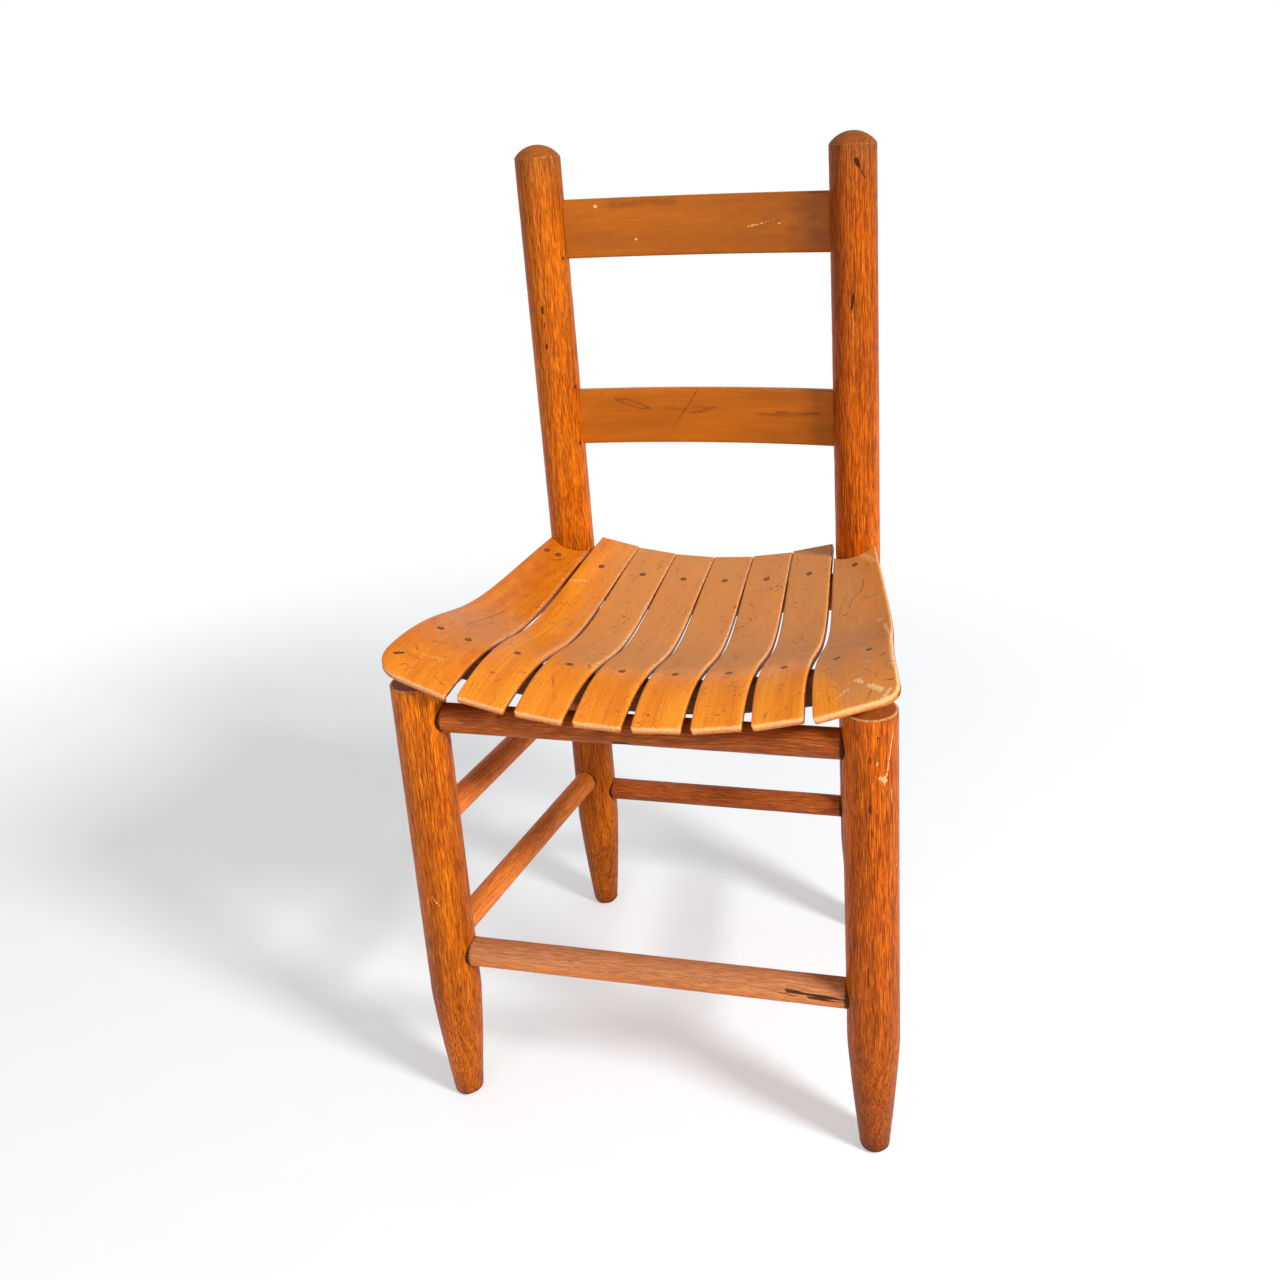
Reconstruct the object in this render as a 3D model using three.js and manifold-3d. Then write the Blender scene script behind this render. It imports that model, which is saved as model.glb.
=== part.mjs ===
// Slat seat side chair: two front legs, two back posts, ten round rungs, two bent back slats,
// and a dished seat of eight bent slats nailed to two curved cleats.
// Millimetres, +Z up. The sitter faces -Y. The origin is on the floor below the middle of the chair.

import * as THREE from 'three';
import { mergeVertices } from 'three/addons/utils/BufferGeometryUtils.js';
import Module from 'manifold-3d';

// Height of the seat at the lowest point of its dip. The front legs and the seat rungs follow it
const SEAT_HEIGHT = 398.5;

// Front legs: turned, straight, with bullet feet and flat tops
const LEG_DIAMETER = 44.5;
const LEG_TOP_RISE = 19;
const LEG_HEIGHT = SEAT_HEIGHT + LEG_TOP_RISE;
const LEG_SPACING = 379;
const LEG_RAKE = 12;
const LEG_TOP_CHAMFER = 1.2;

// Back posts: turned, leaning back, with domed tops
const POST_DIAMETER = 43.5;
const POST_HEIGHT = 831.5;
const POST_SPACING_FOOT = 294;
const POST_SPACING_TOP = 298;
const POST_RAKE = 15;
const POST_SETBACK = 277;
const DOME_HEIGHT = 11.5;

// Bullet feet of all four uprights
const FOOT_TAPER_LENGTH = 112;
const FOOT_DIAMETER = 25.5;
const FOOT_FLAT_DIAMETER = 18;
const FOOT_ROUNDING = 3;
const FOOT_TAPER_POWER = 1.2;

// Rungs: height of each axis over the floor, body diameter, and the tenon inside the upright
const FRONT_SEAT_RUNG_DROP = 13.3;
const FRONT_SEAT_RUNG_HEIGHT = SEAT_HEIGHT - FRONT_SEAT_RUNG_DROP;
const BACK_SEAT_RUNG_DROP = 17;
const BACK_SEAT_RUNG_HEIGHT = SEAT_HEIGHT - BACK_SEAT_RUNG_DROP;
const SIDE_SEAT_RUNG_RISE = 3;
const SIDE_SEAT_RUNG_HEIGHT = SEAT_HEIGHT + SIDE_SEAT_RUNG_RISE;
const UPPER_RUNG_HEIGHT = 282;
const LOWER_RUNG_HEIGHT = 164.5;
const FRONT_STRETCHER_HEIGHT = 152.5;
const BACK_STRETCHER_HEIGHT = 145;
const STOUT_RUNG_DIAMETER = 25;
const RUNG_DIAMETER = 22.5;
const TENON_DIAMETER = 14;
const TENON_DEPTH = 17;
const RUNG_HOUSING_DEPTH = 4;
const JOINT_CLEARANCE = 0.3;

// Back slats: bent boards, bowed backwards, tenoned into the posts
const BACK_SLAT_HEIGHT = 55;
const BACK_SLAT_THICKNESS = 9.5;
const BACK_SLAT_BOW = 12;
const BACK_SLAT_ROUNDING = 1.5;
const BACK_SLAT_TENON = 17;
const TOP_SLAT_CENTRE_HEIGHT = 752.5;
const MID_SLAT_CENTRE_HEIGHT = 568.5;

// Seat slats: one bent profile, measured from the front edge backwards and from the dip upwards
const SLATS = 8;
const SLAT_THICKNESS = 8;
const SLAT_WIDTH = 40;
const SLAT_GAP_FRONT = 8.4;
const SLAT_GAP_BACK = 1.6;
const SLAT_CORNER = 2;
const SEAT_LENGTH = 322;
const SEAT_END_BOW = 8;
const SEAT_OVERHANG = 28;
const SEAT_WIDTH_FRONT = 432;
const SEAT_WIDTH_BACK = 334;
const CREST_SETBACK = 55;
const CREST_RISE = 15.2;
const LIP_DROP = 10.8;
const LIP_SLOPE = 0.36;
const DIP_SETBACK = 166;
const BACK_RISE = 21;
const BACK_SLOPE = 0.12;
const DISH_RADIUS = 550;
const POST_WRAP = 12;
const LEFT_CORNER_RADIUS = 26;
const RIGHT_CORNER_RADIUS = 17;

// How far each curve of the slat profile holds its end slopes, as a share of its length
const LIP_EASE = 0.36;
const CREST_EASE = 0.42;
const DIP_EASE = 0.25;
const BACK_EASE = 0.48;

// Cleats under the seat slats, resting on the side seat rungs
const FRONT_CLEAT_SETBACK = 72;
const BACK_CLEAT_SETBACK = 274;
const CLEAT_THICKNESS = 18;
const CLEAT_DEPTH = 24;
const CLEAT_SADDLE = 3;
const SEAT_CLEARANCE = 0.3;

// Nails through the slats into the cleats
const NAIL_LENGTH = 22;
const NAIL_SHANK_DIAMETER = 2;
const NAIL_HEAD_DIAMETER = 4.4;
const NAIL_HEAD_THICKNESS = 1.2;
const NAIL_SUNK = 0.3;
const NAIL_CLEARANCE = 0.3;
const OUTER_NAIL_SPREAD = 27;
const EXTRA_NAIL_OFFSET = 13;

// Facets
const UPRIGHT_SIDES = 22;
const RUNG_SIDES = 12;
const NAIL_SIDES = 6;
const FOOT_STEPS = 5;
const DOME_STEPS = 4;
const PROFILE_STEPS = 6;
const BOW_STEPS = 10;
const CORNER_STEPS = 4;

const wasm = await Module();
wasm.setup();

const { lerp } = THREE.MathUtils;
const LATHE_AXIS = new THREE.Vector3(0, 1, 0);

function woodOf(color, roughness) {
  return new THREE.MeshStandardMaterial({ color, roughness, metalness: 0 });
}

const oak = woodOf(0xd2731c, 0.42);
const darkOak = woodOf(0xab5c2c, 0.5);
const backMaple = woodOf(0xc67424, 0.4);
const seatMaple = woodOf(0xcc7f45, 0.5);
const rawWood = woodOf(0xa8743f, 0.75);
const steel = new THREE.MeshStandardMaterial({ color: 0x4a3626, roughness: 0.6, metalness: 0.8 });

// Solids: a closed geometry as a manifold, and back

function toSolid(geometry) {
  const bare = geometry.clone();
  bare.deleteAttribute('normal');
  bare.deleteAttribute('uv');
  const merged = mergeVertices(bare, 1e-4);
  const corners = merged.index.array;
  const faces = [];
  for (let i = 0; i < corners.length; i += 3) {
    const [a, b, c] = [corners[i], corners[i + 1], corners[i + 2]];
    if (a !== b && b !== c && c !== a) faces.push(a, b, c);
  }
  const vertProperties = new Float32Array(merged.attributes.position.array);
  const triVerts = new Uint32Array(faces);
  return new wasm.Manifold(new wasm.Mesh({ numProp: 3, vertProperties, triVerts }));
}

function toGeometry(solid) {
  const { vertProperties, triVerts } = solid.getMesh();
  const geometry = new THREE.BufferGeometry();
  geometry.setAttribute('position', new THREE.BufferAttribute(new Float32Array(vertProperties), 3));
  geometry.setIndex(new THREE.BufferAttribute(new Uint32Array(triVerts), 1));
  geometry.computeVertexNormals();
  return geometry;
}

function solidSeenFrom(mesh, other) {
  mesh.updateWorldMatrix(true, false);
  other.updateWorldMatrix(true, false);
  const toMesh = mesh.matrixWorld.clone().invert().multiply(other.matrixWorld);
  return toSolid(other.geometry.clone().applyMatrix4(toMesh));
}

function carve(mesh, ...cutters) {
  let solid = toSolid(mesh.geometry);
  for (const cutter of cutters) solid = solid.subtract(solidSeenFrom(mesh, cutter));
  mesh.geometry = toGeometry(solid);
}

function keepInside(mesh, outline) {
  mesh.geometry = toGeometry(toSolid(mesh.geometry).intersect(solidSeenFrom(mesh, outline)));
}

function revolve(profile, sides) {
  const points = profile.map(([radius, along]) => new THREE.Vector2(radius, along));
  return new THREE.LatheGeometry(points, sides);
}

function named(name, geometry, material) {
  const mesh = new THREE.Mesh(geometry, material);
  mesh.name = name;
  return mesh;
}

const chair = new THREE.Group();

// Uprights: each leans from its foot to its top, and its foot is worn flat on the floor

function footRadius(radius, height) {
  const share = 1 - height / FOOT_TAPER_LENGTH;
  return radius - (radius - FOOT_DIAMETER / 2) * share ** FOOT_TAPER_POWER;
}

function footProfile(radius) {
  const flat = FOOT_FLAT_DIAMETER / 2;
  const profile = [[0, -FOOT_ROUNDING], [flat, -FOOT_ROUNDING], [flat, 0]];
  for (let step = 0; step <= FOOT_STEPS; step++) {
    const height = lerp(FOOT_ROUNDING, FOOT_TAPER_LENGTH, step / FOOT_STEPS);
    profile.push([footRadius(radius, height), height]);
  }
  return profile;
}

function flatTop(radius, length) {
  return [[radius, length - LEG_TOP_CHAMFER], [radius - LEG_TOP_CHAMFER, length], [0, length]];
}

function domedTop(radius, length) {
  const sphere = (radius ** 2 + DOME_HEIGHT ** 2) / (2 * DOME_HEIGHT);
  const edge = Math.asin(radius / sphere);
  const profile = [];
  for (let step = 0; step < DOME_STEPS; step++) {
    const angle = edge * (1 - step / DOME_STEPS);
    profile.push([sphere * Math.sin(angle), length - sphere * (1 - Math.cos(angle))]);
  }
  profile.push([0, length]);
  return profile;
}

const belowFloor = new THREE.BoxGeometry(4 * LEG_SPACING, 4 * POST_SETBACK, 2 * FOOT_ROUNDING);
const floorBlock = new THREE.Mesh(belowFloor.translate(0, 0, -FOOT_ROUNDING));

function addUpright(name, foot, top, diameter, topProfile) {
  const radius = diameter / 2;
  const lean = top.clone().sub(foot);
  const profile = [...footProfile(radius), ...topProfile(radius, lean.length())];
  const mesh = named(name, revolve(profile, UPRIGHT_SIDES), oak);
  mesh.position.copy(foot);
  mesh.quaternion.setFromUnitVectors(LATHE_AXIS, lean.clone().normalize());
  chair.add(mesh);
  carve(mesh, floorBlock);
  const at = (height) => foot.clone().lerp(top, height / top.z);
  return { mesh, radius, lean, at };
}

function addLeg(name, side) {
  const x = (side * LEG_SPACING) / 2;
  const foot = new THREE.Vector3(x, -LEG_RAKE, 0);
  return addUpright(name, foot, new THREE.Vector3(x, 0, LEG_HEIGHT), LEG_DIAMETER, flatTop);
}

function addPost(name, side) {
  const foot = new THREE.Vector3((side * POST_SPACING_FOOT) / 2, POST_SETBACK, 0);
  const top = new THREE.Vector3((side * POST_SPACING_TOP) / 2, POST_SETBACK + POST_RAKE, POST_HEIGHT);
  return addUpright(name, foot, top, POST_DIAMETER, domedTop);
}

const LEFT = -1;
const RIGHT = 1;
const legLeft = addLeg('front_leg_left', LEFT);
const legRight = addLeg('front_leg_right', RIGHT);
const postLeft = addPost('back_post_left', LEFT);
const postRight = addPost('back_post_right', RIGHT);

// Rungs: a turned bar let into each upright, with a thinner tenon beyond its shoulder

function rungProfile(from, to, length, bodyDiameter, grow) {
  const body = bodyDiameter / 2 + grow;
  const tenon = TENON_DIAMETER / 2 + grow;
  const start = from.radius - TENON_DEPTH - grow;
  const shoulder = from.radius - RUNG_HOUSING_DEPTH - grow;
  const endShoulder = length - to.radius + RUNG_HOUSING_DEPTH + grow;
  const end = length - to.radius + TENON_DEPTH + grow;
  return [
    [0, start], [tenon, start], [tenon, shoulder], [body, shoulder],
    [body, endShoulder], [tenon, endShoulder], [tenon, end], [0, end],
  ];
}

function rungMesh(name, from, to, height, bodyDiameter, grow) {
  const start = from.at(height);
  const span = to.at(height).sub(start);
  const profile = rungProfile(from, to, span.length(), bodyDiameter, grow);
  const mesh = named(name, revolve(profile, RUNG_SIDES), darkOak);
  mesh.position.copy(start);
  mesh.quaternion.setFromUnitVectors(LATHE_AXIS, span.normalize());
  return mesh;
}

function addRung(name, from, to, height, bodyDiameter = RUNG_DIAMETER) {
  chair.add(rungMesh(name, from, to, height, bodyDiameter, 0));
  const socket = rungMesh(name, from, to, height, bodyDiameter, JOINT_CLEARANCE);
  carve(from.mesh, socket);
  carve(to.mesh, socket);
  return socket;
}

addRung('front_seat_rung', legLeft, legRight, FRONT_SEAT_RUNG_HEIGHT, STOUT_RUNG_DIAMETER);
addRung('front_stretcher', legLeft, legRight, FRONT_STRETCHER_HEIGHT, STOUT_RUNG_DIAMETER);
addRung('back_seat_rung', postLeft, postRight, BACK_SEAT_RUNG_HEIGHT);
addRung('back_stretcher', postLeft, postRight, BACK_STRETCHER_HEIGHT);

const cleatSeats = [];
for (const [side, leg, post] of [['left', legLeft, postLeft], ['right', legRight, postRight]]) {
  cleatSeats.push(addRung(`${side}_seat_rung`, leg, post, SIDE_SEAT_RUNG_HEIGHT));
  addRung(`${side}_upper_rung`, leg, post, UPPER_RUNG_HEIGHT);
  addRung(`${side}_lower_rung`, leg, post, LOWER_RUNG_HEIGHT);
}

// Back slats: an arc in plan, its tenons in mortises of the posts

function bowedBoard(halfSpan, thickness, height, rounding) {
  const bowRadius = (halfSpan ** 2 + BACK_SLAT_BOW ** 2) / (2 * BACK_SLAT_BOW);
  const sweep = Math.asin(halfSpan / bowRadius);
  const centre = BACK_SLAT_BOW - bowRadius;
  const plan = new THREE.Shape();
  plan.absarc(0, centre, bowRadius + thickness / 2, Math.PI / 2 - sweep, Math.PI / 2 + sweep, false);
  plan.absarc(0, centre, bowRadius - thickness / 2, Math.PI / 2 + sweep, Math.PI / 2 - sweep, true);
  const geometry = new THREE.ExtrudeGeometry(plan, {
    depth: height - 2 * rounding,
    curveSegments: BOW_STEPS,
    bevelEnabled: rounding > 0,
    bevelSize: rounding,
    bevelOffset: -rounding,
    bevelThickness: rounding,
    bevelSegments: 1,
  });
  return geometry.translate(0, 0, rounding - height / 2);
}

function addBackSlat(name, height) {
  const left = postLeft.at(height);
  const right = postRight.at(height);
  const halfSpan = (right.x - left.x) / 2 - postLeft.radius + BACK_SLAT_TENON;
  const board = bowedBoard(halfSpan, BACK_SLAT_THICKNESS, BACK_SLAT_HEIGHT, BACK_SLAT_ROUNDING);
  const grow = JOINT_CLEARANCE;
  const grownThickness = BACK_SLAT_THICKNESS + 2 * grow;
  const grownHeight = BACK_SLAT_HEIGHT + 2 * grow;
  const slat = named(name, board, backMaple);
  const mortise = named(name, bowedBoard(halfSpan + grow, grownThickness, grownHeight, 0), backMaple);
  for (const mesh of [slat, mortise]) {
    mesh.position.copy(left).lerp(right, 0.5);
    mesh.rotation.x = -Math.atan2(postLeft.lean.y, postLeft.lean.z);
  }
  chair.add(slat);
  carve(postLeft.mesh, mortise);
  carve(postRight.mesh, mortise);
}

addBackSlat('top_slat', TOP_SLAT_CENTRE_HEIGHT);
addBackSlat('mid_slat', MID_SLAT_CENTRE_HEIGHT);

// Seat profile: down from the crest to a rounded lip in front and to a dip behind, then up to the back,
// and straight on for the slats whose back ends reach further

function seatProfile() {
  const crest = SEAT_HEIGHT + CREST_RISE;
  const lip = crest - LIP_DROP;
  const back = SEAT_HEIGHT + BACK_RISE;
  const lipReach = LIP_EASE * CREST_SETBACK;
  const crestReach = CREST_EASE * (DIP_SETBACK - CREST_SETBACK);
  const dipReach = DIP_EASE * (SEAT_LENGTH - DIP_SETBACK);
  const backReach = BACK_EASE * (SEAT_LENGTH - DIP_SETBACK);
  const path = new THREE.Path();
  path.moveTo(0, lip);
  path.bezierCurveTo(
    lipReach, lip + LIP_SLOPE * lipReach,
    CREST_SETBACK - lipReach, crest,
    CREST_SETBACK, crest,
  );
  path.bezierCurveTo(
    CREST_SETBACK + crestReach, crest,
    DIP_SETBACK - crestReach, SEAT_HEIGHT,
    DIP_SETBACK, SEAT_HEIGHT,
  );
  path.bezierCurveTo(
    DIP_SETBACK + dipReach, SEAT_HEIGHT,
    SEAT_LENGTH - backReach, back - BACK_SLOPE * backReach,
    SEAT_LENGTH, back,
  );
  path.lineTo(SEAT_LENGTH + SEAT_END_BOW, back + BACK_SLOPE * SEAT_END_BOW);
  return path.getPoints(PROFILE_STEPS);
}

function offsetBelow(line, distance) {
  return line.map((point, i) => {
    const before = line[Math.max(i - 1, 0)];
    const after = line[Math.min(i + 1, line.length - 1)];
    const along = after.clone().sub(before).normalize();
    return new THREE.Vector2(point.x + along.y * distance, point.y - along.x * distance);
  });
}

function readLine(line, setback) {
  let i = 1;
  while (i < line.length - 1 && line[i].x < setback) i++;
  const [a, b] = [line[i - 1], line[i]];
  const slope = (b.y - a.y) / (b.x - a.x);
  return { height: a.y + slope * (setback - a.x), slope };
}

const slatTop = seatProfile();
const slatUnderside = offsetBelow(slatTop, SLAT_THICKNESS);

// The straight line across a cleat's thickness that the curved underside of a slat rests on
function restLine(setback) {
  const half = CLEAT_THICKNESS / 2;
  const front = readLine(slatUnderside, setback - half).height;
  const back = readLine(slatUnderside, setback + half).height;
  const slope = (back - front) / CLEAT_THICKNESS;
  const between = slatUnderside.filter((point) => Math.abs(point.x - setback) < half);
  const heights = between.map((point) => point.y - slope * (point.x - setback));
  return { height: Math.min((front + back) / 2, ...heights), slope };
}

// Seat plan: the slats fan out to the front. Each lies flat on one facet of the dished cleats, and the
// dish grows tighter to the back at the rate that the fan closes, so that no slat is twisted

const INNER_SLATS_A_SIDE = SLATS / 2 - 1;
const OUTER_FACET = 1.3;

function gapAt(setback) {
  return lerp(SLAT_GAP_FRONT, SLAT_GAP_BACK, setback / SEAT_LENGTH);
}

function pitchAt(setback) {
  return SLAT_WIDTH + gapAt(setback);
}

function dishRadiusAt(setback) {
  return (DISH_RADIUS * pitchAt(setback)) / pitchAt(FRONT_CLEAT_SETBACK);
}

function seamRise(seam, setback) {
  return (seam * pitchAt(setback)) ** 2 / (2 * dishRadiusAt(setback));
}

function facetOf(seam) {
  const inner = Math.min(Math.floor(seam), INNER_SLATS_A_SIDE);
  const outer = inner === INNER_SLATS_A_SIDE ? inner + OUTER_FACET : inner + 1;
  return [inner, outer];
}

function dishRise(x, setback) {
  const seam = Math.abs(x) / pitchAt(setback);
  const [inner, outer] = facetOf(seam);
  return lerp(seamRise(inner, setback), seamRise(outer, setback), (seam - inner) / (outer - inner));
}

function facetSlope(seam) {
  const [inner, outer] = facetOf(seam);
  const run = (outer - inner) * pitchAt(FRONT_CLEAT_SETBACK);
  return (seamRise(outer, FRONT_CLEAT_SETBACK) - seamRise(inner, FRONT_CLEAT_SETBACK)) / run;
}

function onChair(setback) {
  return setback - SEAT_OVERHANG;
}

// Seat slats

function planOutline(front, back, start, end, leftCorner, rightCorner) {
  const plan = new THREE.Shape();
  plan.moveTo(-back, end);
  plan.lineTo(-front, start + leftCorner);
  plan.quadraticCurveTo(-front, start, -front + leftCorner, start);
  plan.lineTo(front - rightCorner, start);
  plan.quadraticCurveTo(front, start, front, start + rightCorner);
  plan.lineTo(back, end);
  plan.closePath();
  return plan;
}

function bentBoard(width, origin) {
  const outline = [...slatTop, ...slatUnderside.slice().reverse()];
  const side = new THREE.Shape(outline.map((point) => point.clone().sub(origin)));
  const geometry = new THREE.ExtrudeGeometry(side, { depth: width, bevelEnabled: false });
  const toSlat = new THREE.Matrix4().makeBasis(
    new THREE.Vector3(0, 1, 0),
    new THREE.Vector3(0, 0, 1),
    new THREE.Vector3(1, 0, 0),
  );
  return geometry.translate(0, 0, -width / 2).applyMatrix4(toSlat);
}

function outerSlatEnd() {
  const post = postRight.at(SEAT_HEIGHT + BACK_RISE);
  return post.y - postRight.radius + POST_WRAP + SEAT_OVERHANG;
}

function slatPlan(place) {
  const half = 0.5;
  if (Math.abs(place) < INNER_SLATS_A_SIDE) {
    return {
      left: (setback) => (place - half) * pitchAt(setback) + gapAt(setback) / 2,
      right: (setback) => (place + half) * pitchAt(setback) - gapAt(setback) / 2,
      end: SEAT_LENGTH + SEAT_END_BOW * (place / INNER_SLATS_A_SIDE) ** 2,
    };
  }
  const end = outerSlatEnd();
  const side = Math.sign(place);
  const inner = (setback) => side * (INNER_SLATS_A_SIDE * pitchAt(setback) + gapAt(setback) / 2);
  const outer = (setback) => (side * lerp(SEAT_WIDTH_FRONT, SEAT_WIDTH_BACK, setback / end)) / 2;
  return side > 0 ? { left: inner, right: outer, end } : { left: outer, right: inner, end };
}

function addSlat(number) {
  const place = number - (SLATS + 1) / 2;
  const { left, right, end } = slatPlan(place);
  const slope = facetSlope(Math.abs(place));
  const centre = (setback) => (left(setback) + right(setback)) / 2;
  const width = (setback) => (right(setback) - left(setback)) * Math.hypot(1, slope);
  const bearing = (setback) => ({
    x: centre(setback),
    rise: dishRise(centre(setback), setback),
    underside: restLine(setback).height,
  });
  const front = bearing(FRONT_CLEAT_SETBACK);
  const back = bearing(BACK_CLEAT_SETBACK);
  const run = BACK_CLEAT_SETBACK - FRONT_CLEAT_SETBACK;

  const frame = new THREE.Group();
  frame.position.set(front.x, onChair(FRONT_CLEAT_SETBACK), front.underside + front.rise);
  frame.rotation.order = 'ZYX';
  frame.rotation.z = Math.atan((front.x - back.x) / run);
  frame.rotation.y = -Math.sign(place) * Math.atan(slope);
  frame.rotation.x = Math.atan((back.rise - front.rise) / run);
  chair.add(frame);

  const origin = new THREE.Vector2(FRONT_CLEAT_SETBACK, front.underside);
  const blank = bentBoard(2 * Math.max(width(0), width(end)), origin);
  const slat = named(`seat_slat_${number}`, blank, seatMaple);
  frame.add(slat);

  const leftCorner = number === 1 ? LEFT_CORNER_RADIUS : SLAT_CORNER;
  const rightCorner = number === SLATS ? RIGHT_CORNER_RADIUS : SLAT_CORNER;
  const start = -FRONT_CLEAT_SETBACK;
  const plan = planOutline(width(0) / 2, width(end) / 2, start, start + end, leftCorner, rightCorner);
  const prismHeight = 2 * SEAT_HEIGHT;
  const prism = new THREE.ExtrudeGeometry(plan, {
    depth: prismHeight,
    curveSegments: CORNER_STEPS,
    bevelEnabled: false,
  });
  const outline = new THREE.Mesh(prism.translate(0, 0, -prismHeight / 2));
  frame.add(outline);
  keepInside(slat, outline);
  frame.remove(outline);
  return { slat, frame, origin, left, right };
}

const slats = Array.from({ length: SLATS }, (_, i) => addSlat(i + 1));

// Cleats: scribed on top to the undersides of the slats, hollowed where they sit on the side seat rungs

function undersidePlane({ frame, origin }, setback) {
  const { height, slope } = restLine(setback);
  frame.updateWorldMatrix(true, false);
  const point = frame.localToWorld(new THREE.Vector3(0, setback - origin.x, height - origin.y));
  const normal = new THREE.Vector3(0, -slope, 1).normalize().transformDirection(frame.matrixWorld);
  return new THREE.Plane().setFromNormalAndCoplanarPoint(normal, point);
}

function heightOn({ normal, constant }, x, y) {
  return -(normal.x * x + normal.y * y + constant) / normal.z;
}

function scribedTop(setback, halfLength) {
  const y = onChair(setback);
  return slats.flatMap((seat) => {
    const plane = undersidePlane(seat, setback);
    const ends = [seat.left(setback), seat.right(setback)];
    return ends.map((edge) => {
      const x = THREE.MathUtils.clamp(edge, -halfLength, halfLength);
      return new THREE.Vector2(x, heightOn(plane, x, y) - SEAT_CLEARANCE);
    });
  });
}

function addCleat(name, setback) {
  const { height, slope } = restLine(setback);
  const y = onChair(setback);
  const leg = legRight.at(SIDE_SEAT_RUNG_HEIGHT);
  const post = postRight.at(SIDE_SEAT_RUNG_HEIGHT);
  const halfLength = lerp(leg.x, post.x, (y - leg.y) / (post.y - leg.y)) + RUNG_DIAMETER / 2;
  const seat = SIDE_SEAT_RUNG_HEIGHT + RUNG_DIAMETER / 2 - CLEAT_SADDLE;
  const belly = height - SEAT_CLEARANCE - CLEAT_DEPTH;

  const outline = new THREE.Shape();
  outline.moveTo(-halfLength, seat);
  outline.quadraticCurveTo(0, 2 * belly - seat, halfLength, seat);
  for (const corner of scribedTop(setback, halfLength).reverse()) outline.lineTo(corner.x, corner.y);
  outline.closePath();
  const geometry = new THREE.ExtrudeGeometry(outline, {
    depth: CLEAT_THICKNESS,
    curveSegments: BOW_STEPS,
    bevelEnabled: false,
  });
  geometry.translate(0, 0, -CLEAT_THICKNESS / 2).rotateX(Math.PI / 2);
  geometry.applyMatrix4(new THREE.Matrix4().makeShear(0, 0, 0, slope, 0, 0));
  const cleat = named(name, geometry, rawWood);
  cleat.position.y = y;
  chair.add(cleat);
  carve(cleat, ...cleatSeats);
  return cleat;
}

const frontCleat = addCleat('front_cleat', FRONT_CLEAT_SETBACK);
const backCleat = addCleat('back_cleat', BACK_CLEAT_SETBACK);

// The slats are notched round the posts where they meet them

function postNotch(post) {
  const notch = new THREE.Mesh(
    new THREE.CylinderGeometry(
      post.radius + JOINT_CLEARANCE, post.radius + JOINT_CLEARANCE, POST_HEIGHT, UPRIGHT_SIDES,
    ),
  );
  notch.position.copy(post.mesh.position).addScaledVector(post.lean, 0.5);
  notch.quaternion.copy(post.mesh.quaternion);
  return notch;
}

for (const { slat } of slats) carve(slat, postNotch(postLeft), postNotch(postRight));

// Nails: a round head just under the slat's face, the shank through the slat into the cleat

function nailProfile(grow, above) {
  const shank = NAIL_SHANK_DIAMETER / 2 + grow;
  const head = NAIL_HEAD_DIAMETER / 2 + grow;
  const neck = -NAIL_SUNK - NAIL_HEAD_THICKNESS - grow;
  const tip = -NAIL_SUNK - NAIL_LENGTH - grow;
  return [[0, tip], [shank, tip], [shank, neck], [head, neck], [head, above], [0, above]];
}

function addNail(name, { slat, frame, origin }, cleat, x, setback) {
  const { height, slope } = readLine(slatTop, setback);
  const nail = named(name, revolve(nailProfile(0, -NAIL_SUNK), NAIL_SIDES), steel);
  const hole = new THREE.Mesh(revolve(nailProfile(NAIL_CLEARANCE, SLAT_THICKNESS), NAIL_SIDES));
  for (const mesh of [nail, hole]) {
    mesh.position.set(x, setback - origin.x, height - origin.y);
    mesh.rotation.x = Math.PI / 2 + Math.atan(slope);
    frame.add(mesh);
  }
  carve(slat, hole);
  carve(cleat, hole);
  frame.remove(hole);
}

let frontNail = 1;
slats.forEach((seat, i) => {
  const outermost = i === 0 || i === SLATS - 1;
  const offsets = outermost ? [-OUTER_NAIL_SPREAD / 2, OUTER_NAIL_SPREAD / 2] : [0];
  for (const x of offsets) {
    addNail(`nail_front_${frontNail}`, seat, frontCleat, x, FRONT_CLEAT_SETBACK);
    frontNail++;
  }
  addNail(`nail_back_${i + 1}`, seat, backCleat, 0, BACK_CLEAT_SETBACK);
});
addNail('nail_extra', slats[0], backCleat, -EXTRA_NAIL_OFFSET, BACK_CLEAT_SETBACK);

// The origin stands on the floor below the middle of the finished chair
const bounds = new THREE.Box3().setFromObject(chair);
chair.position.y = -(bounds.min.y + bounds.max.y) / 2;

export default chair;
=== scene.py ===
"""Worn slat seat side chair: oak legs, posts and rungs, maple back and seat slats, clear orange varnish."""

import math

import bpy
import numpy as np
from mathutils import Matrix, Vector, noise


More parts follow.
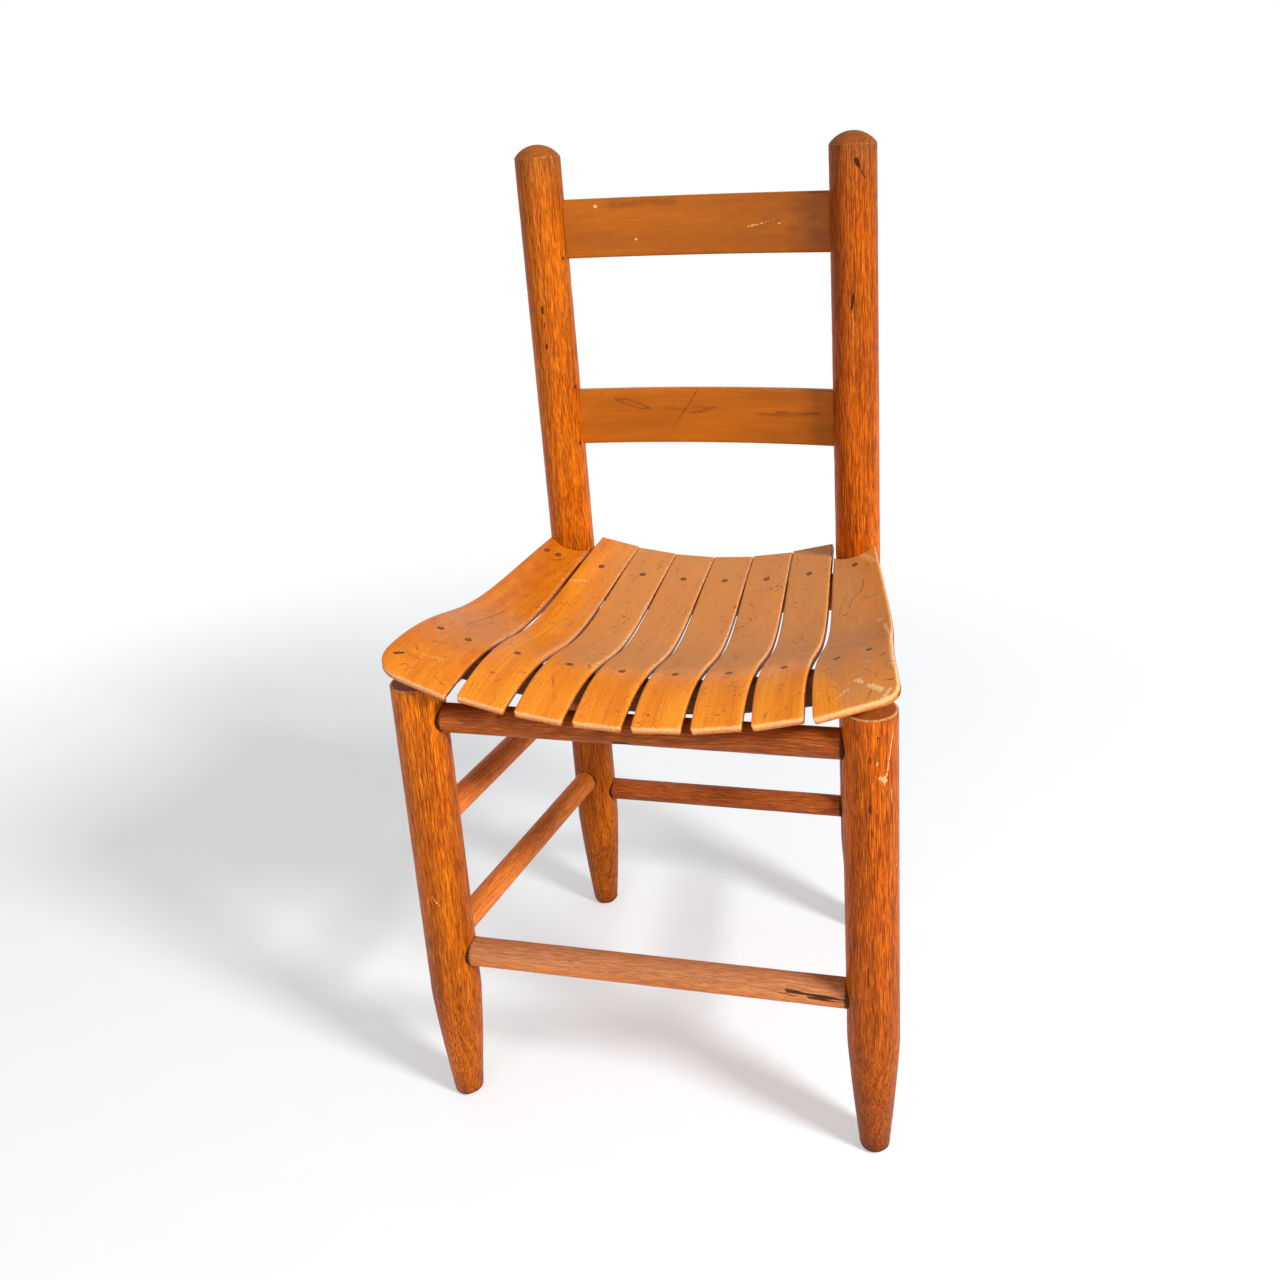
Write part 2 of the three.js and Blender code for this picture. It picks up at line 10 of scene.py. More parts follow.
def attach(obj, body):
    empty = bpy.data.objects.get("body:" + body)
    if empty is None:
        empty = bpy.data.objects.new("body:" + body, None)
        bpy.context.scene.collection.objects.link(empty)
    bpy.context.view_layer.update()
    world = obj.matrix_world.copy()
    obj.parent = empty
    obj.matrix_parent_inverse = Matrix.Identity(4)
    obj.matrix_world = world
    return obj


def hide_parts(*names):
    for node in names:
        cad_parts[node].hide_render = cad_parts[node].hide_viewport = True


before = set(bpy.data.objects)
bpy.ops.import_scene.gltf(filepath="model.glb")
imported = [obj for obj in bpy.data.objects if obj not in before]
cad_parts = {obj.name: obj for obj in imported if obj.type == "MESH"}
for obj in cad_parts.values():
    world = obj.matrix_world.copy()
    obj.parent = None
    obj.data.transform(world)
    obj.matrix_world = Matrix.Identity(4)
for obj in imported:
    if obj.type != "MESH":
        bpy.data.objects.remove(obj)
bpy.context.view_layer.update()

# Uprights
# Two front legs and two back posts, turned from oak with bullet feet. The legs end in flat tops under
# the seat, the posts in low domes. Rungs and back slats are let into them.

MM = 0.001  # the sizes of the chair are in millimetres, and its meshes in metres
CHAIR_SHIFT = -139.775  # the front leg tops stand this far in front of the chair's middle
SEAT_HEIGHT, LEG_TOP_RISE = 398.5, 19
LEG_RADIUS, LEG_HEIGHT, LEG_SPREAD, LEG_RAKE = 22.25, SEAT_HEIGHT + LEG_TOP_RISE, 189.5, 12
POST_RADIUS, POST_HEIGHT, POST_SPREAD_FOOT, POST_SPREAD_TOP = 21.75, 831.5, 147, 149
POST_SETBACK, POST_RAKE, DOME_HEIGHT = 277, 15, 11.5
FOOT_TAPER, FOOT_RADIUS, FOOT_FLAT, FOOT_ROUNDING, FOOT_POWER = 112, 12.75, 9, 3, 1.2
LEG_TOP_ROUNDING = 1.6
UPRIGHT_SIDES, UPRIGHT_STEP = 96, 2.6
DENT_SIZE, DENT_DEPTH, FOOT_DENT_DEPTH = 14, 0.25, 1.1
ROUGH_SIZE, ROUGH_DEPTH, PIT_DEPTH = 4, 0.12, 0.8
FOOT_WEAR, FOOT_SOIL = 30, 10  # how far up from the floor a foot is worn, and dirty
DULL_TOP, DULL_FADE = 62, 50  # the top of a post is dull this far down, and fades in over that length
# the first colour is browner wood and painted shade where less light falls; the last is dirt, and painted
# shade in joints and under the seat
BROWN_TONE_AND_SHADE, BARE_OAK, DARK_DIRT_AND_SHADE = "#7E3A06", "#E8B27C", "#2E1408"


def srgb(code):
    """An sRGB hex colour as linear values."""
    parts = [int(code[i : i + 2], 16) / 255 for i in (1, 3, 5)]
    linear = [p / 12.92 if p <= 0.04045 else ((p + 0.055) / 1.055) ** 2.4 for p in parts]
    return (*linear, 1.0)


def add(tree, kind, inputs=None, **settings):
    """Adds a node with its settings, each input a value or a socket to link; gives its first live output."""
    made = tree.nodes.new(kind)
    for key, value in settings.items():
        setattr(made, key, value)
    for socket, value in (inputs or {}).items():
        if isinstance(value, bpy.types.NodeSocket):
            tree.links.new(value, made.inputs[socket])
        else:
            made.inputs[socket].default_value = value
    return next((output for output in made.outputs if output.enabled), None)


def streaks(tree, vector, across, along, detail=2.0, seed=0, turn=0.0):
    """Noise drawn out along the grain, its features about as wide and as long as the two sizes in mm."""
    inputs = {"Vector": vector, "Location": (0.37 * seed, 0.11 * seed, 0.53 * seed)}
    inputs.update({"Rotation": (0, turn, 0), "Scale": (across * MM, across * MM, along * MM)})
    placed = add(tree, "ShaderNodeMapping", inputs, vector_type="TEXTURE")
    inputs = {"Vector": placed, "Scale": 1.0, "Detail": detail, "Roughness": 0.55}
    return add(tree, "ShaderNodeTexNoise", inputs)


def new_tree(name):
    material = bpy.data.materials.new(name)
    material.use_nodes = True
    material.node_tree.nodes.clear()
    return material, material.node_tree


def read_marks(tree):
    """Grain place of a shading point; its rubbing, dirt with painted shade, dullness, browning with painted
    shade.
    """
    grain = add(tree, "ShaderNodeAttribute", attribute_name="grain").node.outputs["Vector"]
    wear_and_shade = add(tree, "ShaderNodeAttribute", attribute_name="wear_and_shade").node.outputs["Vector"]
    tone_and_shade = add(tree, "ShaderNodeAttribute", attribute_name="tone_and_shade").node.outputs["Fac"]
    rub, dirt_and_shade, dull = add(tree, "ShaderNodeSeparateXYZ", {0: wear_and_shade}).node.outputs
    return grain, rub, dirt_and_shade, dull, tone_and_shade


def finish_wood(tree, colour, rough, height, depth, specular):
    bump = add(tree, "ShaderNodeBump", {"Strength": 0.5, "Distance": depth * MM, "Height": height})
    inputs = {"Base Color": colour, "Roughness": rough, "Normal": bump, "IOR": 1.5}
    inputs["Specular IOR Level"] = specular
    shader = add(tree, "ShaderNodeBsdfPrincipled", inputs)
    add(tree, "ShaderNodeOutputMaterial", {"Surface": shader})


RING_STEP, RING_SWAY = 3.1 * MM, 12 * MM  # how far apart growth rings are, and sway along the piece


def varnished_oak(name, light, dark, pore, pale, dull, pore_share):
    """Ring-porous oak under clear orange varnish: open dark pores in long dashes, satin, rubbed at edges."""
    material, tree = new_tree(name)
    grain, rub_mark, dirt_and_shade_mark, dull_mark, tone_and_shade_mark = read_marks(tree)

    # growth rings round a pith beside the piece: early wood is a band of pores, late wood is plain
    sway = streaks(tree, grain, 34, 260)
    flat = add(tree, "ShaderNodeVectorMath", {0: grain, 1: (1, 1, 0)}, operation="MULTIPLY")
    radius = add(tree, "ShaderNodeVectorMath", {0: flat}, operation="LENGTH")
    swayed = add(tree, "ShaderNodeMath", {0: sway, 1: RING_SWAY, 2: radius}, operation="MULTIPLY_ADD")
    rings = add(tree, "ShaderNodeMath", {0: swayed, 1: RING_STEP}, operation="DIVIDE")
    turn = add(tree, "ShaderNodeMath", {0: rings}, operation="FRACT")
    early = add(tree, "ShaderNodeMapRange", {0: turn, 1: 0.7, 2: 0.2}, interpolation_type="SMOOTHSTEP")

    # pores: real ones are 0.3 mm wide, drawn up to 0.5 mm wide so that they show
    edge = add(tree, "ShaderNodeMath", {0: early, 1: -0.05, 2: 0.545}, operation="MULTIPLY_ADD")
    soft = add(tree, "ShaderNodeMath", {0: edge, 1: 0.05}, operation="ADD")
    wide = {0: streaks(tree, grain, 0.46, 17, 1.0), 1: edge, 2: soft}
    wide = add(tree, "ShaderNodeMapRange", wide, interpolation_type="SMOOTHSTEP")
    fine = {0: streaks(tree, grain, 0.32, 10, 1.0, 4), 1: edge, 2: soft, 4: 0.8}
    fine = add(tree, "ShaderNodeMapRange", fine, interpolation_type="SMOOTHSTEP")
    pores = add(tree, "ShaderNodeMath", {0: wide, 1: fine}, operation="MAXIMUM")

    cloud = streaks(tree, grain, 16, 150, 3.0, 1)
    fleck = streaks(tree, grain, 0.8, 26, 2.0, 2)
    share = add(tree, "ShaderNodeMapRange", {0: cloud, 1: 0.36, 2: 0.66})
    colour = add(tree, "ShaderNodeMix", {0: share, 6: srgb(light), 7: srgb(dark)}, data_type="RGBA")
    share = add(tree, "ShaderNodeMapRange", {0: fleck, 1: 0.48, 2: 0.66, 4: 0.6})
    colour = add(tree, "ShaderNodeMix", {0: share, 6: colour, 7: srgb(pale)}, data_type="RGBA")
    uneven = add(tree, "ShaderNodeMapRange", {0: cloud, 1: 0.3, 2: 0.7, 3: 0.6, 4: 1.0})
    # browning: browner wood, and painted shade where less light falls, broken into uneven clouds
    share = add(tree, "ShaderNodeMath", {0: tone_and_shade_mark, 1: uneven}, operation="MULTIPLY", use_clamp=True)
    colour = add(tree, "ShaderNodeMix", {0: share, 6: colour, 7: srgb(BROWN_TONE_AND_SHADE)}, data_type="RGBA")
    dulled = {0: dull_mark, 1: add(tree, "ShaderNodeMapRange", {0: fleck, 1: 0.3, 2: 0.7, 3: 0.95, 4: 0.65})}
    dulled = add(tree, "ShaderNodeMath", dulled, operation="MULTIPLY")
    colour = add(tree, "ShaderNodeMix", {0: dulled, 6: colour, 7: srgb(dull)}, data_type="RGBA")
    share = add(tree, "ShaderNodeMath", {0: pores, 1: pore_share}, operation="MULTIPLY")
    colour = add(tree, "ShaderNodeMix", {0: share, 6: colour, 7: srgb(pore)}, data_type="RGBA")

    # wear: the varnish breaks off in flakes drawn along the grain; dirt sits in pits, dirt and painted shade
    # in joints
    flakes = streaks(tree, grain, 1.0, 3.8, 4.0, 3)
    rubbed = {0: add(tree, "ShaderNodeMath", {0: rub_mark, 1: flakes}, operation="ADD"), 1: 1.0, 2: 1.1}
    rubbed = add(tree, "ShaderNodeMapRange", rubbed, interpolation_type="SMOOTHSTEP")
    share = add(tree, "ShaderNodeMath", {0: rubbed, 1: 0.75}, operation="MULTIPLY")
    colour = add(tree, "ShaderNodeMix", {0: share, 6: colour, 7: srgb(BARE_OAK)}, data_type="RGBA")
    soil_and_shade = add(tree, "ShaderNodeMath", {0: flakes, 1: 0.5, 2: dirt_and_shade_mark}, operation="MULTIPLY_ADD")
    soil_and_shade = {0: soil_and_shade, 1: 0.45, 2: 0.9, 4: 0.92}
    soil_and_shade = add(tree, "ShaderNodeMapRange", soil_and_shade, interpolation_type="SMOOTHSTEP")
    colour = add(tree, "ShaderNodeMix", {0: soil_and_shade, 6: colour, 7: srgb(DARK_DIRT_AND_SHADE)}, data_type="RGBA")

    matt = add(tree, "ShaderNodeMath", {0: rubbed, 1: dulled}, operation="MAXIMUM")
    matt = add(tree, "ShaderNodeMath", {0: matt, 1: soil_and_shade}, operation="MAXIMUM")
    rough = add(tree, "ShaderNodeMapRange", {0: matt, 3: 0.36, 4: 0.65})
    low = add(tree, "ShaderNodeMath", {0: rubbed, 1: soil_and_shade}, operation="ADD")
    low = add(tree, "ShaderNodeMath", {0: low, 1: 0.7, 2: pores}, operation="MULTIPLY_ADD")
    height = add(tree, "ShaderNodeMath", {0: fleck, 1: 0.3}, operation="MULTIPLY")
    height = add(tree, "ShaderNodeMath", {0: height, 1: low}, operation="SUBTRACT")
    finish_wood(tree, colour, rough, height, 0.35, 0.1)
    return material


def make_piece(name, points, faces, grain, wear_and_shade, tone_and_shade, material):
    """A finished mesh, from millimetres, carrying its grain, wear, tone and painted shade; it stands for the
    CAD node.
    """
    mesh = bpy.data.meshes.new(name)
    mesh.from_pydata((points * MM).tolist(), [], faces)
    for key, values in (("grain", grain * MM), ("wear_and_shade", np.stack(wear_and_shade, 1))):
        layer = mesh.attributes.new(key, "FLOAT_VECTOR", "POINT")
        layer.data.foreach_set("vector", np.ascontiguousarray(values, np.float32).ravel())
    layer = mesh.attributes.new("tone_and_shade", "FLOAT", "POINT")
    layer.data.foreach_set("value", np.ascontiguousarray(tone_and_shade, np.float32))
    mesh.polygons.foreach_set("use_smooth", [True] * len(mesh.polygons))
    mesh.materials.append(material)
    mesh.update()
    piece = bpy.data.objects.new(name, mesh)
    bpy.context.scene.collection.objects.link(piece)
    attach(piece, "root")
    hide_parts(name)


def marks_on(points, marks):
    """How strongly each point is marked. A mark is a line of places in mm, its half width and strength."""
    total = np.zeros(len(points))
    for line, width, strength in marks:
        line = np.array(line, float)
        if len(line) == 1:
            line = np.vstack([line, line])
        near = np.full(len(points), 1e9)
        for start, end in zip(line[:-1], line[1:]):
            step = end - start
            share = np.clip((points - start) @ step / max(step @ step, 1e-9), 0, 1)
            near = np.minimum(near, np.linalg.norm(points - start - share[:, None] * step, axis=1))
        total = np.maximum(total, strength * np.clip(1.6 * (1 - near / width), 0, 1))
    return total


def axis_frame(start, end):
    """Unit vectors across, deep and along for a bar from start to end."""
    along = (end - start) / np.linalg.norm(end - start)
    across = np.cross([0.0, 1.0, 0.0], along) if abs(along[1]) < 0.9 else np.array([1.0, 0.0, 0.0])
    across = across - along * across.dot(along)
    across /= np.linalg.norm(across)
    return np.array([across, np.cross(along, across), along])


def turned(profile, sides):
    """Points and faces round an axis, from (radius, along) rings; both ends close on the axis."""
    angles = np.arange(sides) * 2 * math.pi / sides
    ring = np.stack([np.cos(angles), np.sin(angles)], 1)
    rows = [np.column_stack([ring * radius, np.full(sides, along)]) for radius, along in profile]
    ends = [[0, 0, profile[0][1]], [0, 0, profile[-1][1]]]
    points = np.vstack(rows + [ends])
    last = len(profile) * sides
    faces = []
    for i in range(sides):
        j = (i + 1) % sides
        for row in range(0, last - sides, sides):
            faces.append((row + i, row + j, row + sides + j, row + sides + i))
        faces.append((last, j, i))
        faces.append((last + 1, last - sides + i, last - sides + j))
    return points, faces


def noise_at(points, size, seed):
    """Smooth noise, about -1 to 1, at points in mm with features of the given size in mm."""
    offset = Vector((seed * 17.3, seed * 5.1, seed * 9.7))
    return np.array([noise.noise(Vector(p) / size + offset) for p in points])


def sink(local, depth):
    """Moves points towards the axis by their own depths, at most a third of the way."""
    out = local * (1, 1, 0)
    reach = np.linalg.norm(out, axis=1)
    share = np.minimum(depth, reach / 3) / np.maximum(reach, 1e-6)
    return local - out * share[:, None]


def grain_in(local, pith, turn, tilt, shift):
    """Where each point lies in the log: the pith is off to one side, and the piece is cut at a slant."""
    spin = Matrix.Rotation(turn, 3, "Z") @ Matrix.Rotation(tilt, 3, "X")
    return local @ np.array(spin.transposed()) + np.array([pith, 0.4 * pith, shift])


def foot_radius(radius, height):
    share = np.clip(1 - height / FOOT_TAPER, 0, 1)
    return radius - (radius - FOOT_RADIUS) * share**FOOT_POWER


def upright_profile(radius, length, dome):
    """Rings from the worn flat of the foot to the top."""
    quarter = np.radians(np.linspace(18, 90, 5))
    rings = [(share * FOOT_FLAT, 0.0) for share in (0.3, 0.65, 1)]
    reach = foot_radius(radius, FOOT_ROUNDING) - FOOT_FLAT
    rings += [(FOOT_FLAT + reach * math.sin(a), FOOT_ROUNDING * (1 - math.cos(a))) for a in quarter]
    shoulder = length - (dome or LEG_TOP_ROUNDING)
    heights = np.linspace(FOOT_ROUNDING, shoulder, int((shoulder - FOOT_ROUNDING) / UPRIGHT_STEP))
    rings += [(foot_radius(radius, z), z) for z in heights[1:]]
    if dome:
        sphere = (radius**2 + dome**2) / (2 * dome)
        edge = math.asin(radius / sphere)
        for angle in edge * np.linspace(0.96, 0.06, 18):
            rings.append((sphere * math.sin(angle), length - sphere * (1 - math.cos(angle))))
    else:
        rounding = LEG_TOP_ROUNDING
        rings += [(radius - rounding * (1 - math.cos(a)), shoulder + rounding * math.sin(a)) for a in quarter]
        rings += [((radius - rounding) * share, length) for share in (0.85, 0.7, 0.5, 0.3, 0.12)]
    return rings


def make_upright(name, foot, top, radius, dome, grain_cut, browning_and_shade, material, pale_marks, dark_marks):
    """A leg or post. Its grain_cut is how far off the pith lies, and the turn and slant of the cut.

    Its browning is pairs of height and strength: browner wood, and painted shade where less light falls."""
    foot, top = np.array(foot, float), np.array(top, float)
    length = np.linalg.norm(top - foot)
    local, faces = turned(upright_profile(radius, length, dome), UPRIGHT_SIDES)
    seed = len(bpy.data.meshes)
    along = local[:, 2]
    near_foot = np.clip(1 - along / FOOT_WEAR, 0, 1)
    depth = np.abs(noise_at(local, DENT_SIZE, seed)) * (DENT_DEPTH + FOOT_DENT_DEPTH * near_foot)
    depth += ROUGH_DEPTH * np.abs(noise_at(local, ROUGH_SIZE, seed + 1))
    axes = axis_frame(foot, top)
    pits = marks_on(foot + local @ axes, dark_marks)
    points = foot + sink(local, depth + PIT_DEPTH * pits) @ axes
    points[:, 2] = np.maximum(points[:, 2], 0)
    if dome:
        rub = 0.5 * np.exp(-(((along - length + dome) / 1.5) ** 2))
        dull = 0.75 * np.clip((along - length + DULL_TOP) / DULL_FADE, 0, 1) ** 2
    else:
        at_rim = np.hypot(local[:, 0], local[:, 1]) > radius - 3
        rub = 0.62 * np.exp(-(((along - length) / 1.6) ** 2)) * at_rim
        dull = 0.7 * np.clip((along - length + 3) / 3, 0, 1)
    rub = np.maximum(rub + 0.38 * near_foot**3, marks_on(points, pale_marks))
    dirt_and_shade = np.maximum(0.6 * np.clip(1 - along / FOOT_SOIL, 0, 1), pits)
    # the browning is partly painted shade; the wood is also darker towards the foot
    tone_and_shade = np.interp(along, *np.transpose(browning_and_shade)) + 0.35 * near_foot
    grain = grain_in(local, *grain_cut, 300.0 * seed)
    make_piece(name, points, faces, grain, (rub, dirt_and_shade, dull), tone_and_shade, material)


bright_oak = varnished_oak(
    "orange_varnished_oak", light="#F67A00", dark="#C85A00", pore="#561C00", pale="#FFA024", dull="#A8662C",
    pore_share=0.75,
)
red_oak = varnished_oak(
    "red_varnished_oak", light="#EC6C00", dark="#B64C00", pore="#4C1600", pale="#FA8E1C", dull="#9A5C2E",
    pore_share=0.75,
)


def leg_at(side, height):
    return np.array([side * LEG_SPREAD, CHAIR_SHIFT - LEG_RAKE * (1 - height / LEG_HEIGHT), height])


def post_at(side, height):
    share = height / POST_HEIGHT
    x = side * (POST_SPREAD_FOOT + (POST_SPREAD_TOP - POST_SPREAD_FOOT) * share)
    return np.array([x, CHAIR_SHIFT + POST_SETBACK + POST_RAKE * share, height])


# the chips and rubbed spots of each upright are pale; its pits, splits, dirty spots and dark mortise corners
# are dark
LEFT_LEG_PALE = [
    ([(-190, -168, 222), (-184, -167, 214)], 1.6, 0.75),
    ([(-199, -165, 152), (-197, -166, 146)], 1.4, 0.7),
    ([(-190, -173, 30), (-186, -174, 24)], 3.0, 0.6),
    ([(-170, -163, 330), (-169, -163, 300)], 2.0, 0.46),
]
LEFT_LEG_DARK = [
    ([(-193, -172, 34), (-190, -173, 12)], 2.2, 0.8),
    ([(-178, -170, 10), (-176, -168, 40)], 1.6, 0.5),
    ([(-172, -166, 250), (-172, -166, 244)], 1.6, 0.6),
    ([(-176, -169, 90), (-176, -169, 84)], 1.6, 0.6),
]
RIGHT_LEG_PALE = [
    ([(208, -152, 405), (205, -157, 379), (202, -160, 362)], 1.8, 0.64),
    ([(199, -161, 370), (203, -159, 366)], 2.8, 0.95),
    ([(207, -156, 358), (208, -155, 344)], 1.6, 0.72),
    ([(198, -162, 384), (196, -162, 380)], 1.6, 0.7),
    ([(210, -152, 300), (210, -153, 280)], 1.6, 0.6),
    ([(210, -152, 240), (210, -153, 226)], 1.4, 0.56),
    ([(208, -155, 190), (208, -156, 170)], 1.2, 0.5),
    ([(196, -172, 46)], 2.2, 0.8),
]
RIGHT_LEG_DARK = [
    ([(198, -161, 404)], 2.4, 0.6),
    ([(192, -163, 388), (192, -163, 382)], 1.8, 0.55),
    ([(191, -164, 346), (191, -164, 341)], 2.0, 0.6),
    ([(192, -165, 324), (193, -165, 319)], 1.8, 0.6),
    ([(194, -165, 290), (194, -166, 262)], 0.9, 0.55),
    ([(188, -168, 196), (188, -169, 178)], 0.9, 0.6),
    ([(190, -173, 35), (192, -173, 22), (193, -173, 14)], 3.0, 1.0),
]
LEFT_POST_PALE = [
    ([(-131, 139, 770), (-131, 138, 742)], 2.5, 0.42),
    ([(-138, 129, 676), (-136, 130, 664)], 2.0, 0.46),
]
LEFT_POST_DARK = [
    ([(-150, 128, 682), (-150, 128, 676)], 1.8, 0.85),
    ([(-149, 127, 667), (-149, 127, 664)], 1.4, 0.7),
    ([(-149, 127, 646), (-149, 127, 642)], 1.6, 0.8),
    ([(-146, 126, 634), (-146, 126, 631)], 1.4, 0.6),
    ([(-150, 128, 622), (-150, 128, 619)], 1.3, 0.6),
    ([(-127.5, 142, 727)], 2.8, 1.1),
    ([(-127, 141, 601)], 2.6, 1.0),
    ([(-127, 140, 543)], 2.8, 1.1),
]
RIGHT_POST_PALE = [
    ([(149, 128, 676), (150, 127, 655), (151, 127, 634)], 3.0, 0.46),
    ([(163, 134, 790), (166, 137, 812)], 2.0, 0.45),
    ([(144, 130, 700), (145, 130, 660)], 2.0, 0.4),
]
RIGHT_POST_DARK = [
    ([(154, 131, 807), (155, 131, 804)], 2.8, 1.1),
    ([(155, 131, 806), (158, 131, 799), (162, 133, 791)], 1.7, 1.0),
    ([(150, 128, 690), (149, 128, 682), (148, 128, 676)], 1.7, 0.8),
]
make_upright(
    "front_leg_left", leg_at(-1, 0), leg_at(-1, LEG_HEIGHT), LEG_RADIUS, dome=0,
    grain_cut=(46, 0.5, 0.006),
    browning_and_shade=((0, 0.45), (200, 0.4), (340, 0.05), (417, 0.0)),
    material=bright_oak, pale_marks=LEFT_LEG_PALE, dark_marks=LEFT_LEG_DARK,
)
make_upright(
    "front_leg_right", leg_at(1, 0), leg_at(1, LEG_HEIGHT), LEG_RADIUS, dome=0,
    grain_cut=(46, 2.2, 0.004),
    browning_and_shade=((0, 0.85), (120, 0.65), (230, 0.2), (330, 0.15), (417, 0.0)),
    material=red_oak, pale_marks=RIGHT_LEG_PALE, dark_marks=RIGHT_LEG_DARK,
)
make_upright(
    "back_post_left", post_at(-1, 0), post_at(-1, POST_HEIGHT), POST_RADIUS, dome=DOME_HEIGHT,
    grain_cut=(52, 1.4, 0.005),
    browning_and_shade=((0, 0.55), (380, 0.4), (460, 0.0), (640, 0.12), (780, 0.4), (831, 0.4)),
    material=bright_oak, pale_marks=LEFT_POST_PALE, dark_marks=LEFT_POST_DARK,
)
make_upright(
    "back_post_right", post_at(1, 0), post_at(1, POST_HEIGHT), POST_RADIUS, dome=DOME_HEIGHT,
    grain_cut=(52, 0.2, 0.004),
    browning_and_shade=((0, 0.5), (460, 0.0), (560, 0.2), (680, 0.5), (831, 0.6)),
    material=red_oak, pale_marks=RIGHT_POST_PALE, dark_marks=RIGHT_POST_DARK,
)


# Rungs
# Ten round hardwood rungs let into the legs and posts. The two front ones are stouter. The low front
# one is where feet rest, so its top is rubbed grey and dull.

RUNG_RADIUS, STOUT_RADIUS, HOUSING = 11.25, 12.5, 4
FRONT_SEAT_RUNG_DROP, BACK_SEAT_RUNG_DROP, SIDE_SEAT_RUNG_RISE = 13.3, 17, 3  # from the dip of the seat
FRONT_STRETCHER_HEIGHT, BACK_STRETCHER_HEIGHT = 152.5, 145
UPPER_RUNG_HEIGHT, LOWER_RUNG_HEIGHT = 282, 164.5
RUNG_SIDES, RUNG_STEP = 56, 2.6
# the last is how far the band of painted shade and dirt at each joint reaches, in mm
RUNG_DENT_SIZE, RUNG_DENT_DEPTH, JOINT_SHADE_AND_SOIL = 16, 0.2, 1.1

rung_oak = varnished_oak(
    "brown_varnished_rung_oak", light="#BE5C20", dark="#9C4612", pore="#48200A", pale="#D47E3C",
    dull="#BE9270", pore_share=0.6,
)
side_oak = varnished_oak(
    "orange_brown_rung_oak", light="#FF8A30", dark="#E8721E", pore="#86400F", pale="#FFAC58",
    dull="#B68462", pore_share=0.55,
)


def make_rung(name, start, end, radius, material, grain_cut, greyed=0.0, dark_marks=()):
    """A rung from axis to axis, its ends just inside the legs or posts; greyed is how dull its top is."""
    start_radius = POST_RADIUS if start[1] > 0 else LEG_RADIUS
    end_radius = POST_RADIUS if end[1] > 0 else LEG_RADIUS
    span = np.linalg.norm(end - start)
    first, last = start_radius - HOUSING, span - end_radius + HOUSING
    rings = [(radius, z) for z in np.linspace(first, last, int((last - first) / RUNG_STEP))]
    rings = [(0.3 * radius, first), (0.7 * radius, first), *rings, (0.7 * radius, last), (0.3 * radius, last)]
    local, faces = turned(rings, RUNG_SIDES)
    seed = len(bpy.data.meshes)
    axes = axis_frame(start, end)
    pits = marks_on(start + local @ axes, dark_marks)
    dents = RUNG_DENT_DEPTH * np.abs(noise_at(local, RUNG_DENT_SIZE, seed))
    points = start + sink(local, dents + PIT_DEPTH * pits) @ axes
    # painted shade and dirt: a dark band where the rung goes into a leg or post, standing for the shade in
    # the joint gap
    to_joint = np.minimum(local[:, 2] - start_radius, span - end_radius - local[:, 2])
    dirt_and_shade = np.maximum(0.75 * np.exp(-np.clip(to_joint, 0, None) / JOINT_SHADE_AND_SOIL), pits)
    upward = ((local * (1, 1, 0)) @ axes)[:, 2] / radius
    dull = greyed * np.clip(0.75 + 0.7 * upward, 0, 1)
    grain = grain_in(local, *grain_cut, 300.0 * seed)
    make_piece(name, points, faces, grain, (0.36 * dull, dirt_and_shade, dull), 0 * dull, material)


# a dark spot under the seat, and the long split near the right end of the low front rung
SEAT_RUNG_DARK = [([(-15, -149, 377), (-6, -149, 376)], 4.6, 1.2)]
STRETCHER_DARK = [
    ([(118, -159, 158), (134, -160, 157), (152, -160, 156), (170, -161, 155)], 1.9, 1.1),
    ([(136, -160, 154), (168, -161, 152)], 1.6, 0.9),
    ([(108, -159, 156), (126, -160, 154)], 1.1, 0.6),
    ([(140, -161, 148), (170, -161, 146)], 1.2, 0.55),
]
front_ends = [leg_at(side, SEAT_HEIGHT - FRONT_SEAT_RUNG_DROP) for side in (-1, 1)]
make_rung("front_seat_rung", *front_ends, STOUT_RADIUS, rung_oak, (38, 0.3, 0.006), dark_marks=SEAT_RUNG_DARK)
stretcher_ends = [leg_at(side, FRONT_STRETCHER_HEIGHT) for side in (-1, 1)]
make_rung(
    "front_stretcher", *stretcher_ends, STOUT_RADIUS, side_oak, (38, 1.9, 0.006), greyed=0.86,
    dark_marks=STRETCHER_DARK,
)
for name, height, cut in (
    ("back_seat_rung", SEAT_HEIGHT - BACK_SEAT_RUNG_DROP, (38, 2.5, 0.005)),
    ("back_stretcher", BACK_STRETCHER_HEIGHT, (38, 1.1, 0.004)),
):
    make_rung(name, post_at(-1, height), post_at(1, height), RUNG_RADIUS, rung_oak, cut)
for side, name in ((-1, "left"), (1, "right")):
    for place, height in (
        ("seat", SEAT_HEIGHT + SIDE_SEAT_RUNG_RISE),
        ("upper", UPPER_RUNG_HEIGHT),
        ("lower", LOWER_RUNG_HEIGHT),
    ):
        cut = (38, 0.01 * height * side, 0.006)
        ends = leg_at(side, height), post_at(side, height)
        make_rung(f"{name}_{place}_rung", *ends, RUNG_RADIUS, side_oak, cut, greyed=0.1)


# Back slats
# Two thin maple boards, steamed and bent backwards, their ends in mortises of the posts. The edges
# are slightly rounded, chipped and rubbed pale along the top.

SLAT_HALF_HEIGHT, BACK_THICKNESS, BACK_BOW, BACK_ARRIS = 27.5, 9.5, 12, 2.0
BACK_HALF_SPAN = 132  # each board ends out of sight inside the posts
CAD_HALF_SPAN = 144.2  # half the chord that its bow is measured over
SCRATCHED = "#6A3410"
TOP_SLAT_HEIGHT, MID_SLAT_HEIGHT = 752.5, 568.5
BOARD_STEP = 1.25
EDGE_RUB, ARRIS_RUB, POST_DARKENING = 1.5, 1.2, 6  # widths of the chipped top edge, rubbed arrises and darkened ends
